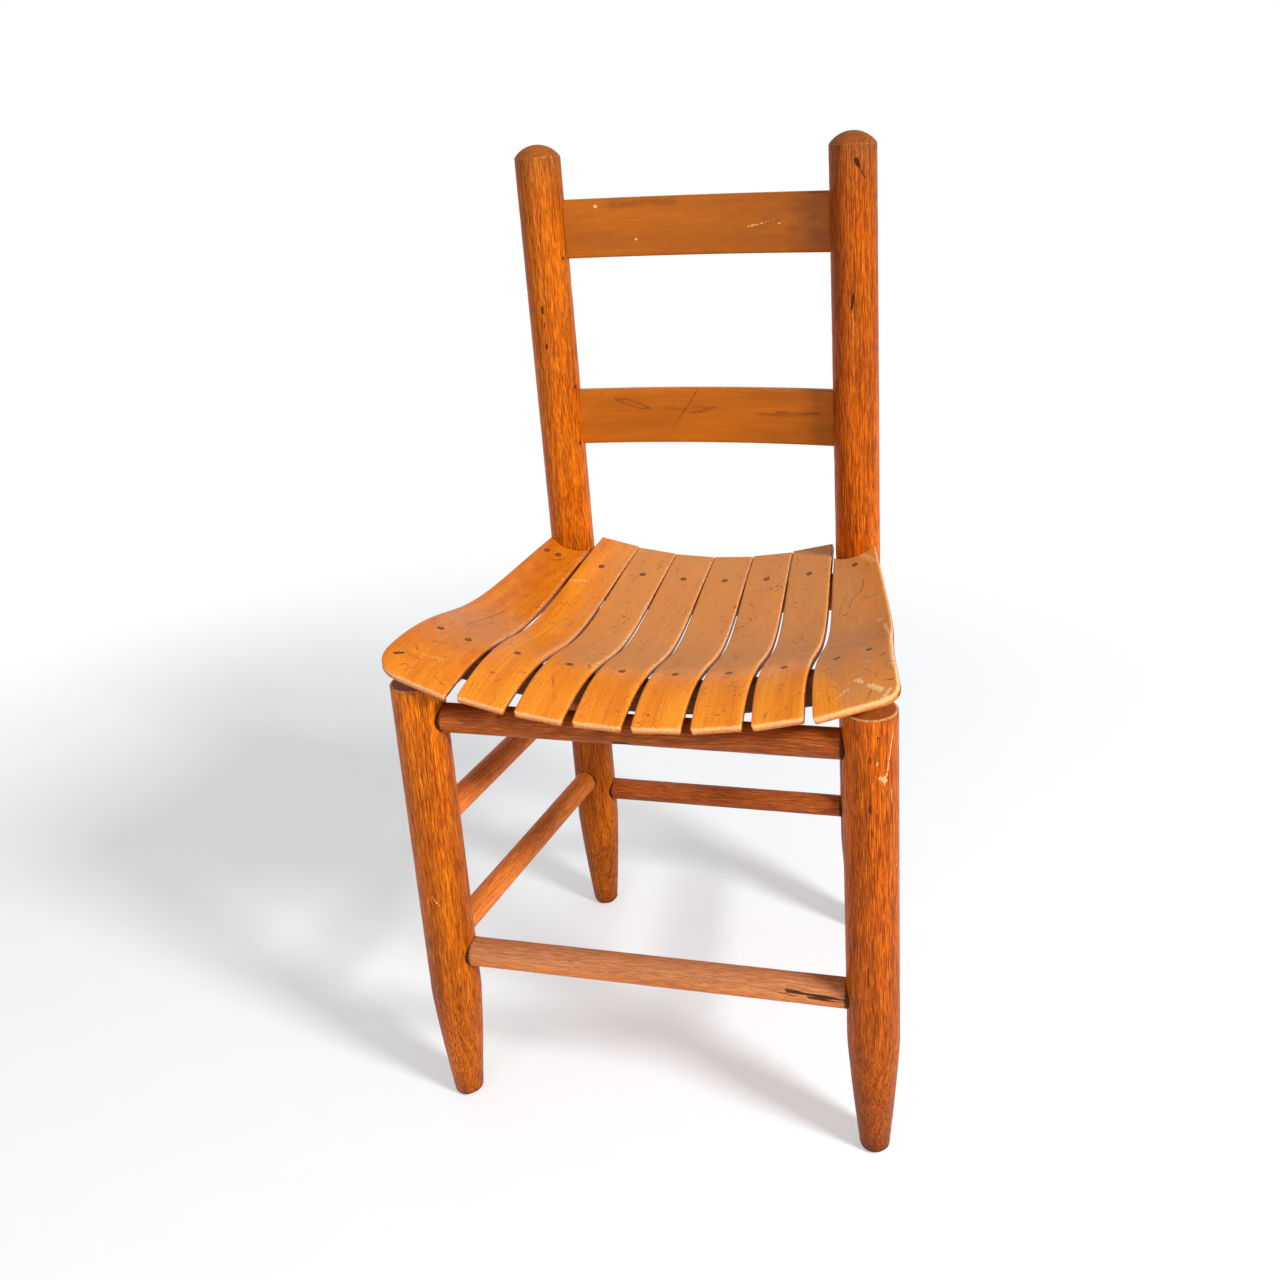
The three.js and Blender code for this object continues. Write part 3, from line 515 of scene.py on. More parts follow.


def varnished_maple(name, light, dark, streak, dull, browned_and_shaded, bare, scratch_share, specular):
    """Fine even maple under clear orange varnish: faint long streaks, satin, scuffed and rubbed pale."""
    material, tree = new_tree(name)
    grain, rub_mark, dirt_and_shade_mark, dull_mark, tone_and_shade_mark = read_marks(tree)

    share = add(tree, "ShaderNodeMapRange", {0: streaks(tree, grain, 26, 120, 3.0), 1: 0.35, 2: 0.65})
    colour = add(tree, "ShaderNodeMix", {0: share, 6: srgb(light), 7: srgb(dark)}, data_type="RGBA")
    line = streaks(tree, grain, 1.4, 90, 4.0, 1)
    share = add(tree, "ShaderNodeMapRange", {0: line, 1: 0.45, 2: 0.75, 4: 0.5})
    colour = add(tree, "ShaderNodeMix", {0: share, 6: colour, 7: srgb(streak)}, data_type="RGBA")
    dash = streaks(tree, grain, 0.9, 4, 2.0, 2)
    share = add(tree, "ShaderNodeMapRange", {0: dash, 1: 0.56, 2: 0.7, 4: 0.35})
    colour = add(tree, "ShaderNodeMix", {0: share, 6: colour, 7: srgb(streak)}, data_type="RGBA")
    # browned patches: browner varnish and rubbed marks, and painted shade on the upper back board and under
    # the seat slats
    blotch = streaks(tree, grain, 7, 16, 4.0, 8)
    share = add(tree, "ShaderNodeMapRange", {0: blotch, 1: 0.3, 2: 0.7, 3: 0.55, 4: 1.1})
    share = add(tree, "ShaderNodeMath", {0: tone_and_shade_mark, 1: share}, operation="MULTIPLY", use_clamp=True)
    colour = add(tree, "ShaderNodeMix", {0: share, 6: colour, 7: srgb(browned_and_shaded)}, data_type="RGBA")

    # the sitting area: varnish thinned to a dull tan with a soft, ragged edge
    cloud = streaks(tree, grain, 12, 22, 5.0, 6)
    dulled = {0: add(tree, "ShaderNodeMath", {0: dull_mark, 1: cloud}, operation="ADD"), 1: 0.56, 2: 1.2}
    dulled = add(tree, "ShaderNodeMapRange", dulled, interpolation_type="SMOOTHSTEP")
    share = add(tree, "ShaderNodeMath", {0: dulled, 1: 0.85}, operation="MULTIPLY")
    colour = add(tree, "ShaderNodeMix", {0: share, 6: colour, 7: srgb(dull)}, data_type="RGBA")

    # hairline scratches: level lines of drawn-out noise, broken up, in four directions
    hairs = 0.0
    for seed, turn, width in ((11, 0.5, 0.006), (12, 1.25, 0.007), (13, -0.45, 0.006), (14, -1.2, 0.008)):
        level = streaks(tree, grain, 9, 60, 1.0, seed, turn)
        level = add(tree, "ShaderNodeMath", {0: level, 1: 0.5}, operation="SUBTRACT")
        level = add(tree, "ShaderNodeMath", {0: level}, operation="ABSOLUTE")
        broken = streaks(tree, grain, 12, 26, 2.0, seed + 5)
        broken = add(tree, "ShaderNodeMapRange", {0: broken, 1: 0.52, 2: 0.62})
        hair = {0: level, 1: 0.001, 2: width, 3: broken, 4: 0.0}
        hair = add(tree, "ShaderNodeMapRange", hair, interpolation_type="SMOOTHSTEP")
        hairs = add(tree, "ShaderNodeMath", {0: hairs, 1: hair}, operation="MAXIMUM")
    hairs = add(tree, "ShaderNodeMath", {0: hairs, 1: scratch_share}, operation="MULTIPLY")
    colour = add(tree, "ShaderNodeMix", {0: hairs, 6: colour, 7: srgb(SCRATCHED)}, data_type="RGBA")

    # chips and rubbed arrises show bare wood; specks of it are scattered over the sitting area
    flakes = streaks(tree, grain, 1.1, 2.2, 4.0, 3)
    rub = {0: dulled, 1: 0.14 * scratch_share, 2: rub_mark}
    rub = add(tree, "ShaderNodeMath", rub, operation="MULTIPLY_ADD")
    rubbed = {0: add(tree, "ShaderNodeMath", {0: rub, 1: flakes}, operation="ADD"), 1: 0.84, 2: 0.94, 4: 0.7}
    rubbed = add(tree, "ShaderNodeMapRange", rubbed, interpolation_type="SMOOTHSTEP")
    colour = add(tree, "ShaderNodeMix", {0: rubbed, 6: colour, 7: srgb(bare)}, data_type="RGBA")
    # the dark mix is dirt, with painted shade under the seat slats and round the nail heads, and darkened
    # board ends
    soil_and_shade = add(tree, "ShaderNodeMath", {0: flakes, 1: 0.4, 2: dirt_and_shade_mark}, operation="MULTIPLY_ADD")
    soil_and_shade = {0: soil_and_shade, 1: 0.45, 2: 0.85, 4: 0.85}
    soil_and_shade = add(tree, "ShaderNodeMapRange", soil_and_shade, interpolation_type="SMOOTHSTEP")
    colour = add(tree, "ShaderNodeMix", {0: soil_and_shade, 6: colour, 7: srgb(DARK_DIRT_AND_SHADE)}, data_type="RGBA")

    matt = add(tree, "ShaderNodeMath", {0: dulled, 1: 0.75}, operation="MULTIPLY")
    matt = add(tree, "ShaderNodeMath", {0: matt, 1: rubbed}, operation="MAXIMUM")
    matt = add(tree, "ShaderNodeMath", {0: matt, 1: soil_and_shade}, operation="MAXIMUM")
    rough = add(tree, "ShaderNodeMapRange", {0: matt, 3: 0.32, 4: 0.6})
    low = add(tree, "ShaderNodeMath", {0: rubbed, 1: soil_and_shade}, operation="ADD")
    low = add(tree, "ShaderNodeMath", {0: low, 1: hairs}, operation="ADD")
    low = add(tree, "ShaderNodeMath", {0: low, 1: -0.8}, operation="MULTIPLY")
    height = add(tree, "ShaderNodeMath", {0: line, 1: 0.4, 2: low}, operation="MULTIPLY_ADD")
    finish_wood(tree, colour, rough, height, 0.25, specular)
    return material


def spread(start, end, step):
    """Stations from start to end: close together at both ends, where the arrises are rounded."""
    close = np.array([0, 0.12, 0.4, 0.85, 1.5, 2.4])
    middle = np.linspace(start + 3.5, end - 3.5, max(int((end - start - 7) / step), 1) + 1)
    return np.concatenate([start + close, middle, (end - close)[::-1]])


def distance_to(points, rim):
    """Shortest distance from each point to a closed line."""
    starts, steps = rim, np.roll(rim, -1, axis=0) - rim
    squares = np.maximum((steps**2).sum(1), 1e-12)
    inset = np.empty(len(points))
    for i in range(0, len(points), 2000):
        offset = points[i : i + 2000, None] - starts[None]
        share = np.clip((offset * steps).sum(2) / squares, 0, 1)
        inset[i : i + 2000] = np.sqrt(((offset - steps * share[..., None]) ** 2).sum(2)).min(1)
    return inset


def board(rows, columns, left, right, reach, thickness, top_arris, under_arris):
    """A flat slab from its left to its right edge, row by row, with quarter-round arrises.

    Returns across, along and depth of each point on the face and then the underside, faces and inset."""
    count, wide = len(rows), len(columns)
    row_share = (rows - rows[0]) / (rows[-1] - rows[0])
    column_share = (columns - columns[0]) / (columns[-1] - columns[0])
    low, high = left(rows)[:, None], right(rows)[:, None]
    across = low + (high - low) * column_share[None, :]
    along = rows[0] + row_share[:, None] * (reach(across[-1])[None, :] - rows[0])
    flat = np.stack([across, along], 2)
    rim = np.concatenate([flat[0], flat[1:, -1], flat[-1, -2::-1], flat[-2:0:-1, 0]])
    points = flat.reshape(-1, 2)
    inset = distance_to(points, rim)

    def fall(radius):
        return radius - np.sqrt(radius**2 - np.clip(radius - inset, 0, radius) ** 2)

    face, under = fall(top_arris), thickness - fall(under_arris)
    shape = np.vstack([np.column_stack([points, face]), np.column_stack([points, under])])
    size = count * wide
    faces = []
    for a in range(size - wide):
        if (a + 1) % wide:
            quad = (a, a + 1, a + 1 + wide, a + wide)
            faces += [quad, tuple(size + corner for corner in quad[::-1])]
    ring = [*range(wide), *range(2 * wide - 1, size, wide), *range(size - 2, size - wide - 1, -1)]
    ring += range(size - 2 * wide, 0, -wide)
    for a, b in zip(ring, ring[1:] + ring[:1]):
        faces.append((b, a, size + a, size + b))
    return shape, faces, np.concatenate([inset, inset])


back_maple = varnished_maple(
    "varnished_back_maple", light="#C2680C", dark="#AC5A08", streak="#965008", dull="#B8803A",
    browned_and_shaded="#7A3C04", bare="#F0C890", scratch_share=0.15, specular=0.1,
)


def make_back_slat(name, height, material, browning_and_shade, pale_marks, dark_marks, brown_marks):
    """A bent board between the posts. Its browning is pairs of place along it and strength: browner varnish
    and painted shade.
    """
    middle = (post_at(-1, height) + post_at(1, height)) / 2
    lean = math.atan2(POST_RAKE, POST_HEIGHT)
    bow = (CAD_HALF_SPAN**2 + BACK_BOW**2) / (2 * BACK_BOW)
    edge = SLAT_HALF_HEIGHT
    rows = spread(-BACK_HALF_SPAN, BACK_HALF_SPAN, BOARD_STEP)
    shape, faces, inset = board(
        rows, spread(-edge, edge, BOARD_STEP), lambda s: -edge + 0 * s, lambda s: edge + 0 * s,
        lambda x: BACK_HALF_SPAN + 0 * x, BACK_THICKNESS, BACK_ARRIS, BACK_ARRIS,
    )
    up, along, depth = shape.T
    angle = along / bow
    radial = bow - BACK_THICKNESS / 2 + depth
    local = np.column_stack([radial * np.sin(angle), BACK_BOW - bow + radial * np.cos(angle), up])
    points = middle + local @ np.array(Matrix.Rotation(-lean, 3, "X")).T
    top_edge = np.exp(-np.clip(edge - up, 0, None) / EDGE_RUB)
    chipped = 0.3 * top_edge * (0.25 + 0.75 * np.exp(-depth / 1.6))
    rub = np.maximum(chipped + 0.1 * np.exp(-inset / ARRIS_RUB), marks_on(points, pale_marks))
    # the ends grow darker over the last few millimetres before the posts
    at_post = np.clip(np.abs(along) - BACK_HALF_SPAN + POST_DARKENING, 0, 3) / 3
    dirt_and_shade = np.maximum(marks_on(points, dark_marks), 0.5 * at_post)
    grain = np.column_stack([up, depth, along + 300.0 * len(bpy.data.meshes)])
    tone_and_shade = np.interp(along, *np.transpose(browning_and_shade)) + marks_on(points, brown_marks)
    faces = [face[::-1] for face in faces]
    make_piece(name, points, faces, grain, (rub, dirt_and_shade, 0 * up), tone_and_shade, material)


# pale specks and scuffs on the top board, and brown rubbed lines, knocks and spots on the one below
TOP_SLAT_PALE = [
    ([(-96, 152, 773)], 3.0, 0.8),
    ([(-95, 152, 767), (-94, 152, 764)], 1.6, 0.6),
    ([(-94, 152, 761), (-92, 152, 757)], 1.8, 0.65),
    ([(-59, 155, 741)], 2.2, 0.8),
    ([(-86, 153, 775), (-60, 155, 776), (-30, 156, 775)], 2.6, 0.36),
    ([(-50, 156, 771), (-46, 156, 771)], 1.4, 0.5),
    ([(50, 156, 750), (62, 155, 752), (75, 154, 756)], 1.8, 0.52),
    ([(78, 154, 752), (90, 152, 753)], 1.8, 0.42),
]
TOP_SLAT_DARK = [([(-50, 156, 777), (-20, 157, 777)], 2.0, 0.5), ([(30, 156, 777), (36, 156, 777)], 1.8, 0.5)]
TOP_SLAT_BROWN = [([(-80, 153, 774), (-20, 156, 775)], 6.0, 0.4)]
MID_SLAT_DARK = [
    ([(-127, 143, 542), (-127, 143, 545)], 2.6, 0.9),
    ([(-127, 143, 596)], 2.4, 0.8),
    ([(-8, 155, 594), (-17, 155, 580), (-38, 153, 552)], 1.1, 0.62),
    ([(-50, 153, 560)], 1.2, 0.8),
    ([(-53, 152, 548)], 1.2, 0.8),
    ([(-108, 146, 556)], 1.2, 0.5),
]
MID_SLAT_BROWN = [
    ([(-91, 150, 586), (-80, 151, 586), (-67, 152, 581), (-56, 153, 576)], 1.6, 0.75),
    ([(-90, 150, 585), (-78, 151, 580), (-66, 152, 576), (-57, 153, 576)], 1.4, 0.75),
    ([(-42, 154, 577), (-18, 155, 573)], 1.4, 0.5),
    ([(-16, 155, 571), (-4, 155, 573), (9, 155, 577)], 1.6, 0.65),
    ([(-12, 155, 579), (2, 155, 575)], 1.2, 0.5),
    ([(50, 154, 571), (84, 150, 570), (100, 148, 571)], 1.6, 0.6),
    ([(72, 152, 573), (92, 149, 572), (112, 147, 573)], 2.0, 0.6),
    ([(-105, 148, 592)], 1.8, 0.8),
]
make_back_slat(
    "top_slat", TOP_SLAT_HEIGHT, back_maple, browning_and_shade=((-132, 0.36), (0, 0.28), (132, 0.8)),
    pale_marks=TOP_SLAT_PALE, dark_marks=TOP_SLAT_DARK, brown_marks=TOP_SLAT_BROWN,
)
make_back_slat(
    "mid_slat", MID_SLAT_HEIGHT, back_maple, browning_and_shade=((-132, 0.02), (0, 0.05), (132, 0.35)),
    pale_marks=[], dark_marks=MID_SLAT_DARK, brown_marks=MID_SLAT_BROWN,
)


# Seat slats
# Eight maple slats, steamed to one S-shaped profile, fanned out to the front and dished across. The
# outer two are wider and are notched round the posts. Sitting has worn the hollow dull and tan.

SEAT_LENGTH, SEAT_END_BOW, OVERHANG, SLAT_THICKNESS = 322, 8, 28, 8
CREST_SETBACK, CREST_RISE, LIP_DROP, LIP_SLOPE = 55, 15.2, 10.8, 0.36
DIP_SETBACK, BACK_RISE, BACK_SLOPE = 166, 21, 0.12
LIP_EASE, CREST_EASE, DIP_EASE, BACK_EASE = 0.36, 0.42, 0.25, 0.48
SEAT_ARRIS, UNDER_ARRIS, SLAT_BELLY = 1.8, 1.0, 0.7
SLAT_WIDTH, GAP_FRONT, GAP_BACK = 40, 8.4, 1.6
SLAT_CORNER, LEFT_CORNER, RIGHT_CORNER = 2, 26, 17
FRONT_CLEAT, BACK_CLEAT = 72, 274
SLATS, INNER_SLATS, OUTER_FACET, DISH_RADIUS = 8, 3, 1.3, 550
SEAT_HALF_FRONT, SEAT_HALF_BACK = 216, 167
POST_WRAP, NOTCH_CLEARANCE = 12, 0.3  # how far the outer slats reach past the posts' fronts, and clear them
NAIL_SPREAD, EXTRA_NAIL, SHADE_AND_DIRT_RING = 13.5, -13, 3.3
SLAT_BROWNING = {1: 0.66, 2: 0.16, 8: 0.2}  # the varnish of these slats is darker than that of the others


def seat_line():
    """Setback and height along the middle of a slat's face: lip, crest, dip and back, then straight on."""
    crest, back = SEAT_HEIGHT + CREST_RISE, SEAT_HEIGHT + BACK_RISE
    lip = crest - LIP_DROP
    lip_reach, crest_reach = LIP_EASE * CREST_SETBACK, CREST_EASE * (DIP_SETBACK - CREST_SETBACK)
    dip_reach, back_reach = (ease * (SEAT_LENGTH - DIP_SETBACK) for ease in (DIP_EASE, BACK_EASE))
    setbacks = (
        (0, lip_reach, CREST_SETBACK - lip_reach, CREST_SETBACK),
        (CREST_SETBACK, CREST_SETBACK + crest_reach, DIP_SETBACK - crest_reach, DIP_SETBACK),
        (DIP_SETBACK, DIP_SETBACK + dip_reach, SEAT_LENGTH - back_reach, SEAT_LENGTH),
    )
    heights = (
        (lip, lip + LIP_SLOPE * lip_reach, crest, crest),
        (crest, crest, SEAT_HEIGHT, SEAT_HEIGHT),
        (SEAT_HEIGHT, SEAT_HEIGHT, back - BACK_SLOPE * back_reach, back),
    )
    t = np.linspace(0, 1, 120)
    weights = np.stack([(1 - t) ** 3, 3 * t * (1 - t) ** 2, 3 * t**2 * (1 - t), t**3])
    curves = np.stack([np.array(setbacks) @ weights, np.array(heights) @ weights], 2)[:, 1:]
    beyond = SEAT_END_BOW + 2
    return np.vstack([[0, lip], curves.reshape(-1, 2), [SEAT_LENGTH + beyond, back + BACK_SLOPE * beyond]])


seat_curve = seat_line()


def height_at(setback):
    return np.interp(setback, seat_curve[:, 0], seat_curve[:, 1])


def slope_at(setback):
    before, after = np.maximum(setback - 1, 0), setback + 1
    return (height_at(after) - height_at(before)) / (after - before)


def gap_at(setback):
    return GAP_FRONT + (GAP_BACK - GAP_FRONT) * setback / SEAT_LENGTH


def pitch_at(setback):
    return SLAT_WIDTH + gap_at(setback)


def seam_rise(seam, setback):
    dish = DISH_RADIUS * pitch_at(setback) / pitch_at(FRONT_CLEAT)
    return (seam * pitch_at(setback)) ** 2 / (2 * dish)


def facet_of(seam):
    inner = min(math.floor(seam), INNER_SLATS)
    return inner, inner + (OUTER_FACET if inner == INNER_SLATS else 1)


def dish_rise(x, setback):
    seam = abs(x) / pitch_at(setback)
    inner, outer = facet_of(seam)
    share = (seam - inner) / (outer - inner)
    return seam_rise(inner, setback) * (1 - share) + seam_rise(outer, setback) * share


def facet_slope(seam):
    inner, outer = facet_of(seam)
    run = (outer - inner) * pitch_at(FRONT_CLEAT)
    return (seam_rise(outer, FRONT_CLEAT) - seam_rise(inner, FRONT_CLEAT)) / run


seat_maple = varnished_maple(
    "worn_seat_maple", light="#FA9822", dark="#E47C12", streak="#BA6214", dull="#C68248",
    browned_and_shaded="#B4540A", bare="#F2C48C", scratch_share=0.75, specular=0.22,
)
# seen from above: places where the varnish is chipped or rubbed through, and scratches full of dirt
SEAT_PALE = [
    ([(191, -149), (200, -155)], 4.0, 0.42),
    ([(180, -140), (184, -143)], 3.6, 0.38),
    ([(151, -147)], 2.4, 0.42),
    ([(166, -156), (174, -149)], 3.0, 0.31),
    ([(186, -117)], 2.4, 0.4),
    ([(190, -20), (205, -100), (213, -158)], 2.6, 0.42),
    ([(136, 138), (152, 124), (168, 104)], 6.0, 0.3),
    ([(203, -163), (207, -156)], 2.8, 0.38),
    ([(199, -79), (207, -132)], 3.0, 0.34),
    ([(184, -6)], 5.0, 0.34),
    ([(-188, -137), (-164, -138)], 5.0, 0.3),
    ([(-140, -60), (-134, 30)], 9.0, 0.3),
    ([(-133, 70), (-112, 76)], 4.0, 0.38),
]
SEAT_DARK = [
    ([(-202, -146), (-196, -143)], 1.6, 1.1),
    ([(-173, -73), (-170, -38), (-163, -8)], 0.9, 0.6),
    ([(-178, -96), (-171, -84)], 5.0, 0.22),
    ([(-176, -60), (-160, -62)], 1.2, 0.5),
    ([(161, 74), (162, 64), (161, 56), (157, 50), (154, 44), (153, 36), (154, 28)], 0.8, 0.6),
    ([(147, 52), (145, 36), (145, 20)], 0.8, 0.52),
    ([(119, 43), (128, 24), (134, 6)], 0.9, 0.5),
    ([(104, 40), (112, 20)], 0.9, 0.5),
    ([(122, 20), (112, -10)], 0.9, 0.5),
    ([(128, -30), (104, -44)], 0.9, 0.45),
    ([(-54, 63), (-36, 20)], 0.9, 0.35),
    ([(-26, -4), (-29, -48)], 0.9, 0.45),
    ([(2, -60), (20, -40), (28, -20)], 0.9, 0.4),
    ([(175, -108), (192, -112)], 1.0, 0.5),
    ([(-150, 40), (-128, 52)], 0.9, 0.35),
]
slat_frames = {}


def sat_on(points):
    """How worn by sitting each place on the seat is: the middle and right, and out to the right corner."""
    x, y = points[:, 0], points[:, 1]
    front = np.clip((y + 112 + np.clip(x - 135, 0, None) * 1.9) / 36, 0, 1)
    inner = np.clip((x + 122) / 50, 0, 1)
    patch = np.clip(1.0 - np.hypot((x + 160) / 38, (y + 62) / 70), 0, 0.42)
    return np.maximum(0.66 * front * inner, patch) * np.clip(1.2 - np.abs(x) / 500, 0, 1)


def nail_spots(number):
    """Where the nails of a slat are, across and along it."""
    pair = (-NAIL_SPREAD, NAIL_SPREAD) if number in (1, SLATS) else (0,)
    extra = [(EXTRA_NAIL, BACK_CLEAT)] if number == 1 else []
    return [(x, FRONT_CLEAT) for x in pair] + [(0, BACK_CLEAT)] + extra


def make_seat_slat(number):
    place = number - (SLATS + 1) / 2
    side = math.copysign(1, place)
    outermost = abs(place) > INNER_SLATS
    post = post_at(side, SEAT_HEIGHT + BACK_RISE)
    end = SEAT_LENGTH + SEAT_END_BOW * (place / INNER_SLATS) ** 2
    if outermost:
        end = post[1] - POST_RADIUS + POST_WRAP + OVERHANG - CHAIR_SHIFT

    def edges(setback):
        if not outermost:
            near, far = (place - 0.5) * pitch_at(setback), (place + 0.5) * pitch_at(setback)
            return near + gap_at(setback) / 2, far - gap_at(setback) / 2
        inner = side * (INNER_SLATS * pitch_at(setback) + gap_at(setback) / 2)
        outer = side * (SEAT_HALF_FRONT + (SEAT_HALF_BACK - SEAT_HALF_FRONT) * setback / end)
        return min(inner, outer), max(inner, outer)

    slope = facet_slope(abs(place))
    near, far = sum(edges(FRONT_CLEAT)) / 2, sum(edges(BACK_CLEAT)) / 2
    rises = dish_rise(near, FRONT_CLEAT), dish_rise(far, BACK_CLEAT)
    run = BACK_CLEAT - FRONT_CLEAT
    spin = np.array(
        Matrix.Rotation(math.atan((near - far) / run), 3, "Z")
        @ Matrix.Rotation(-side * math.atan(slope), 3, "Y")
        @ Matrix.Rotation(math.atan((rises[1] - rises[0]) / run), 3, "X")
    )
    under = height_at(FRONT_CLEAT) - SLAT_THICKNESS
    origin = np.array([near, FRONT_CLEAT - OVERHANG + CHAIR_SHIFT, under + rises[0]])

    stretch = math.hypot(1, slope) / 2
    half_front = (edges(0)[1] - edges(0)[0]) * stretch
    half_back = (edges(end)[1] - edges(end)[0]) * stretch
    left_corner = LEFT_CORNER if number == 1 else SLAT_CORNER
    right_corner = RIGHT_CORNER if number == SLATS else SLAT_CORNER

    def corner(setback, radius):
        return radius * (1 - np.sqrt(np.clip(setback / radius, 0, 1))) ** 2

    def half_width(setback):
        straight = half_front + (half_back - half_front) * setback / end
        return straight + SLAT_BELLY * np.sin(math.pi * np.clip(setback / end, 0, 1))

    def reach(across):
        if not outermost:
            return np.full_like(across, end)
        x = origin[0] + across * spin[0, 0] + (end - FRONT_CLEAT) * spin[0, 1]
        notch = np.sqrt(np.clip((POST_RADIUS + NOTCH_CLEARANCE) ** 2 - (x - post[0]) ** 2, 0, None))
        return np.minimum(post[1] - notch - CHAIR_SHIFT + OVERHANG, end)

    shape, faces, inset = board(
        spread(0, end, BOARD_STEP), spread(-half_front, half_front, BOARD_STEP),
        lambda s: corner(s, left_corner) - half_width(s),
        lambda s: half_width(s) - corner(s, right_corner),
        reach, SLAT_THICKNESS, SEAT_ARRIS, UNDER_ARRIS,
    )
    across, setback, depth = shape.T
    pitch = slope_at(setback)
    length = np.hypot(1, pitch)
    local = np.column_stack([
        across,
        setback - FRONT_CLEAT + depth * pitch / length,
        height_at(setback) - under - depth / length,
    ])
    points = origin + local @ spin.T
    slat_frames[number] = (origin, spin, under)

    face = np.arange(len(points)) < len(points) // 2
    end_grain = np.exp(-setback / 1.6)
    rub = (0.38 * np.exp(-inset / 0.8) + 0.18 * end_grain) * face
    rub = np.maximum(np.maximum(rub, 0.24 * end_grain), marks_on(points[:, :2], SEAT_PALE) * face)
    dirt_and_shade = marks_on(points[:, :2], SEAT_DARK) * face
    # painted shade and dirt: a dark ring round each nail head, standing for the shade of the hole it sits in
    for x, station in nail_spots(number):
        from_nail = np.hypot(across - x, setback - station)
        dirt_and_shade = np.maximum(dirt_and_shade, 1.3 * np.clip((SHADE_AND_DIRT_RING - from_nail) / 0.9, 0, 1) * face)
    # painted shade: the undersides, seen through the gaps between the slats, are darkened and browned, most
    # near their edges
    dirt_and_shade += (0.3 + 0.45 * np.exp(-inset / 4)) * ~face * (setback > 4)
    tone_and_shade = SLAT_BROWNING.get(number, 0) * np.clip(0.45 + setback / 160, 0, 1) + 0.8 * ~face
    grain = np.column_stack([across + 60 * number, depth, setback + 400.0 * number])
    wear_and_shade = (rub, dirt_and_shade, sat_on(points) * face)
    make_piece(f"seat_slat_{number}", points, faces, grain, wear_and_shade, tone_and_shade, seat_maple)


for number in range(1, SLATS + 1):
    make_seat_slat(number)


# Cleats
# Two curved cross pieces of bare hardwood under the slats, scribed to them and resting on the side
# rungs. They are hidden from above, rough-sawn and unfinished.


def sawn_hardwood(name):
    """Bare band-sawn hardwood, dull and brown with age, with faint saw marks 8 mm apart."""
    material, tree = new_tree(name)
    place = add(tree, "ShaderNodeTexCoord").node.outputs["Object"]
    lying = add(tree, "ShaderNodeMapping", {"Vector": place, "Rotation": (0, math.pi / 2, 0)})
    line = streaks(tree, lying, 1.5, 60, 4.0)
    saw = {"Vector": place, "Scale": 40.0, "Distortion": 1.5}
    saw = add(tree, "ShaderNodeTexWave", saw).node.outputs["Fac"]
    share = add(tree, "ShaderNodeMapRange", {0: line, 1: 0.3, 2: 0.7})
    colour = {0: share, 6: srgb("#8A5A2E"), 7: srgb("#5E3818")}
    colour = add(tree, "ShaderNodeMix", colour, data_type="RGBA")
    height = add(tree, "ShaderNodeMath", {0: saw, 1: 0.4, 2: line}, operation="MULTIPLY_ADD")
    rough = add(tree, "ShaderNodeMapRange", {0: share, 3: 0.65, 4: 0.85})
    finish_wood(tree, colour, rough, height, 0.4, 0.25)
    return material


bare_hardwood = sawn_hardwood("bare_sawn_hardwood")
for name in ("front_cleat", "back_cleat"):
    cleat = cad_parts[name]
    cleat.data.materials.clear()
    cleat.data.materials.append(bare_hardwood)


# Nails
# Small round-headed steel nails, one row over each cleat, tarnished brown. They are driven square to
# the slat, and each head stands just proud in a dark ring of dirt and painted shade drawn by the slat's
# marks.

NAIL_RADIUS, NAIL_CROWN, NAIL_LENGTH, SHANK_RADIUS, NAIL_POINT = 2.0, 0.35, 21, 0.95, 0.2


def tarnished_steel(name, dark, light):
    """Plain wire nail steel, brown with tarnish in spots of about 1.4 mm, brighter where it is rubbed."""
    material, tree = new_tree(name)
    place = add(tree, "ShaderNodeTexCoord").node.outputs["Object"]
    spots = add(tree, "ShaderNodeTexNoise", {"Vector": place, "Scale": 700.0, "Detail": 3.0})
    share = add(tree, "ShaderNodeMapRange", {0: spots, 1: 0.35, 2: 0.65})
    colour = add(tree, "ShaderNodeMix", {0: share, 6: srgb(dark), 7: srgb(light)}, data_type="RGBA")
    rough = add(tree, "ShaderNodeMapRange", {0: share, 3: 0.7, 4: 0.5})
    bump = add(tree, "ShaderNodeBump", {"Strength": 0.3, "Distance": 0.2 * MM, "Height": spots})
    inputs = {"Base Color": colour, "Metallic": 0.5, "Roughness": rough, "Normal": bump}
    shader = add(tree, "ShaderNodeBsdfPrincipled", inputs)
    add(tree, "ShaderNodeOutputMaterial", {"Surface": shader})
    return material


def nail_places():
    """Where each nail goes through the face of its slat, and the way it is driven."""
    places, drives = [], []
    for number, (origin, spin, under) in slat_frames.items():
        for x, setback in nail_spots(number):
            pitch = slope_at(setback)
            places.append((origin + spin @ (x, setback - FRONT_CLEAT, height_at(setback) - under)) * MM)
            drives.append(spin @ (0, -pitch, 1) / math.hypot(1, pitch))
    return places, drives


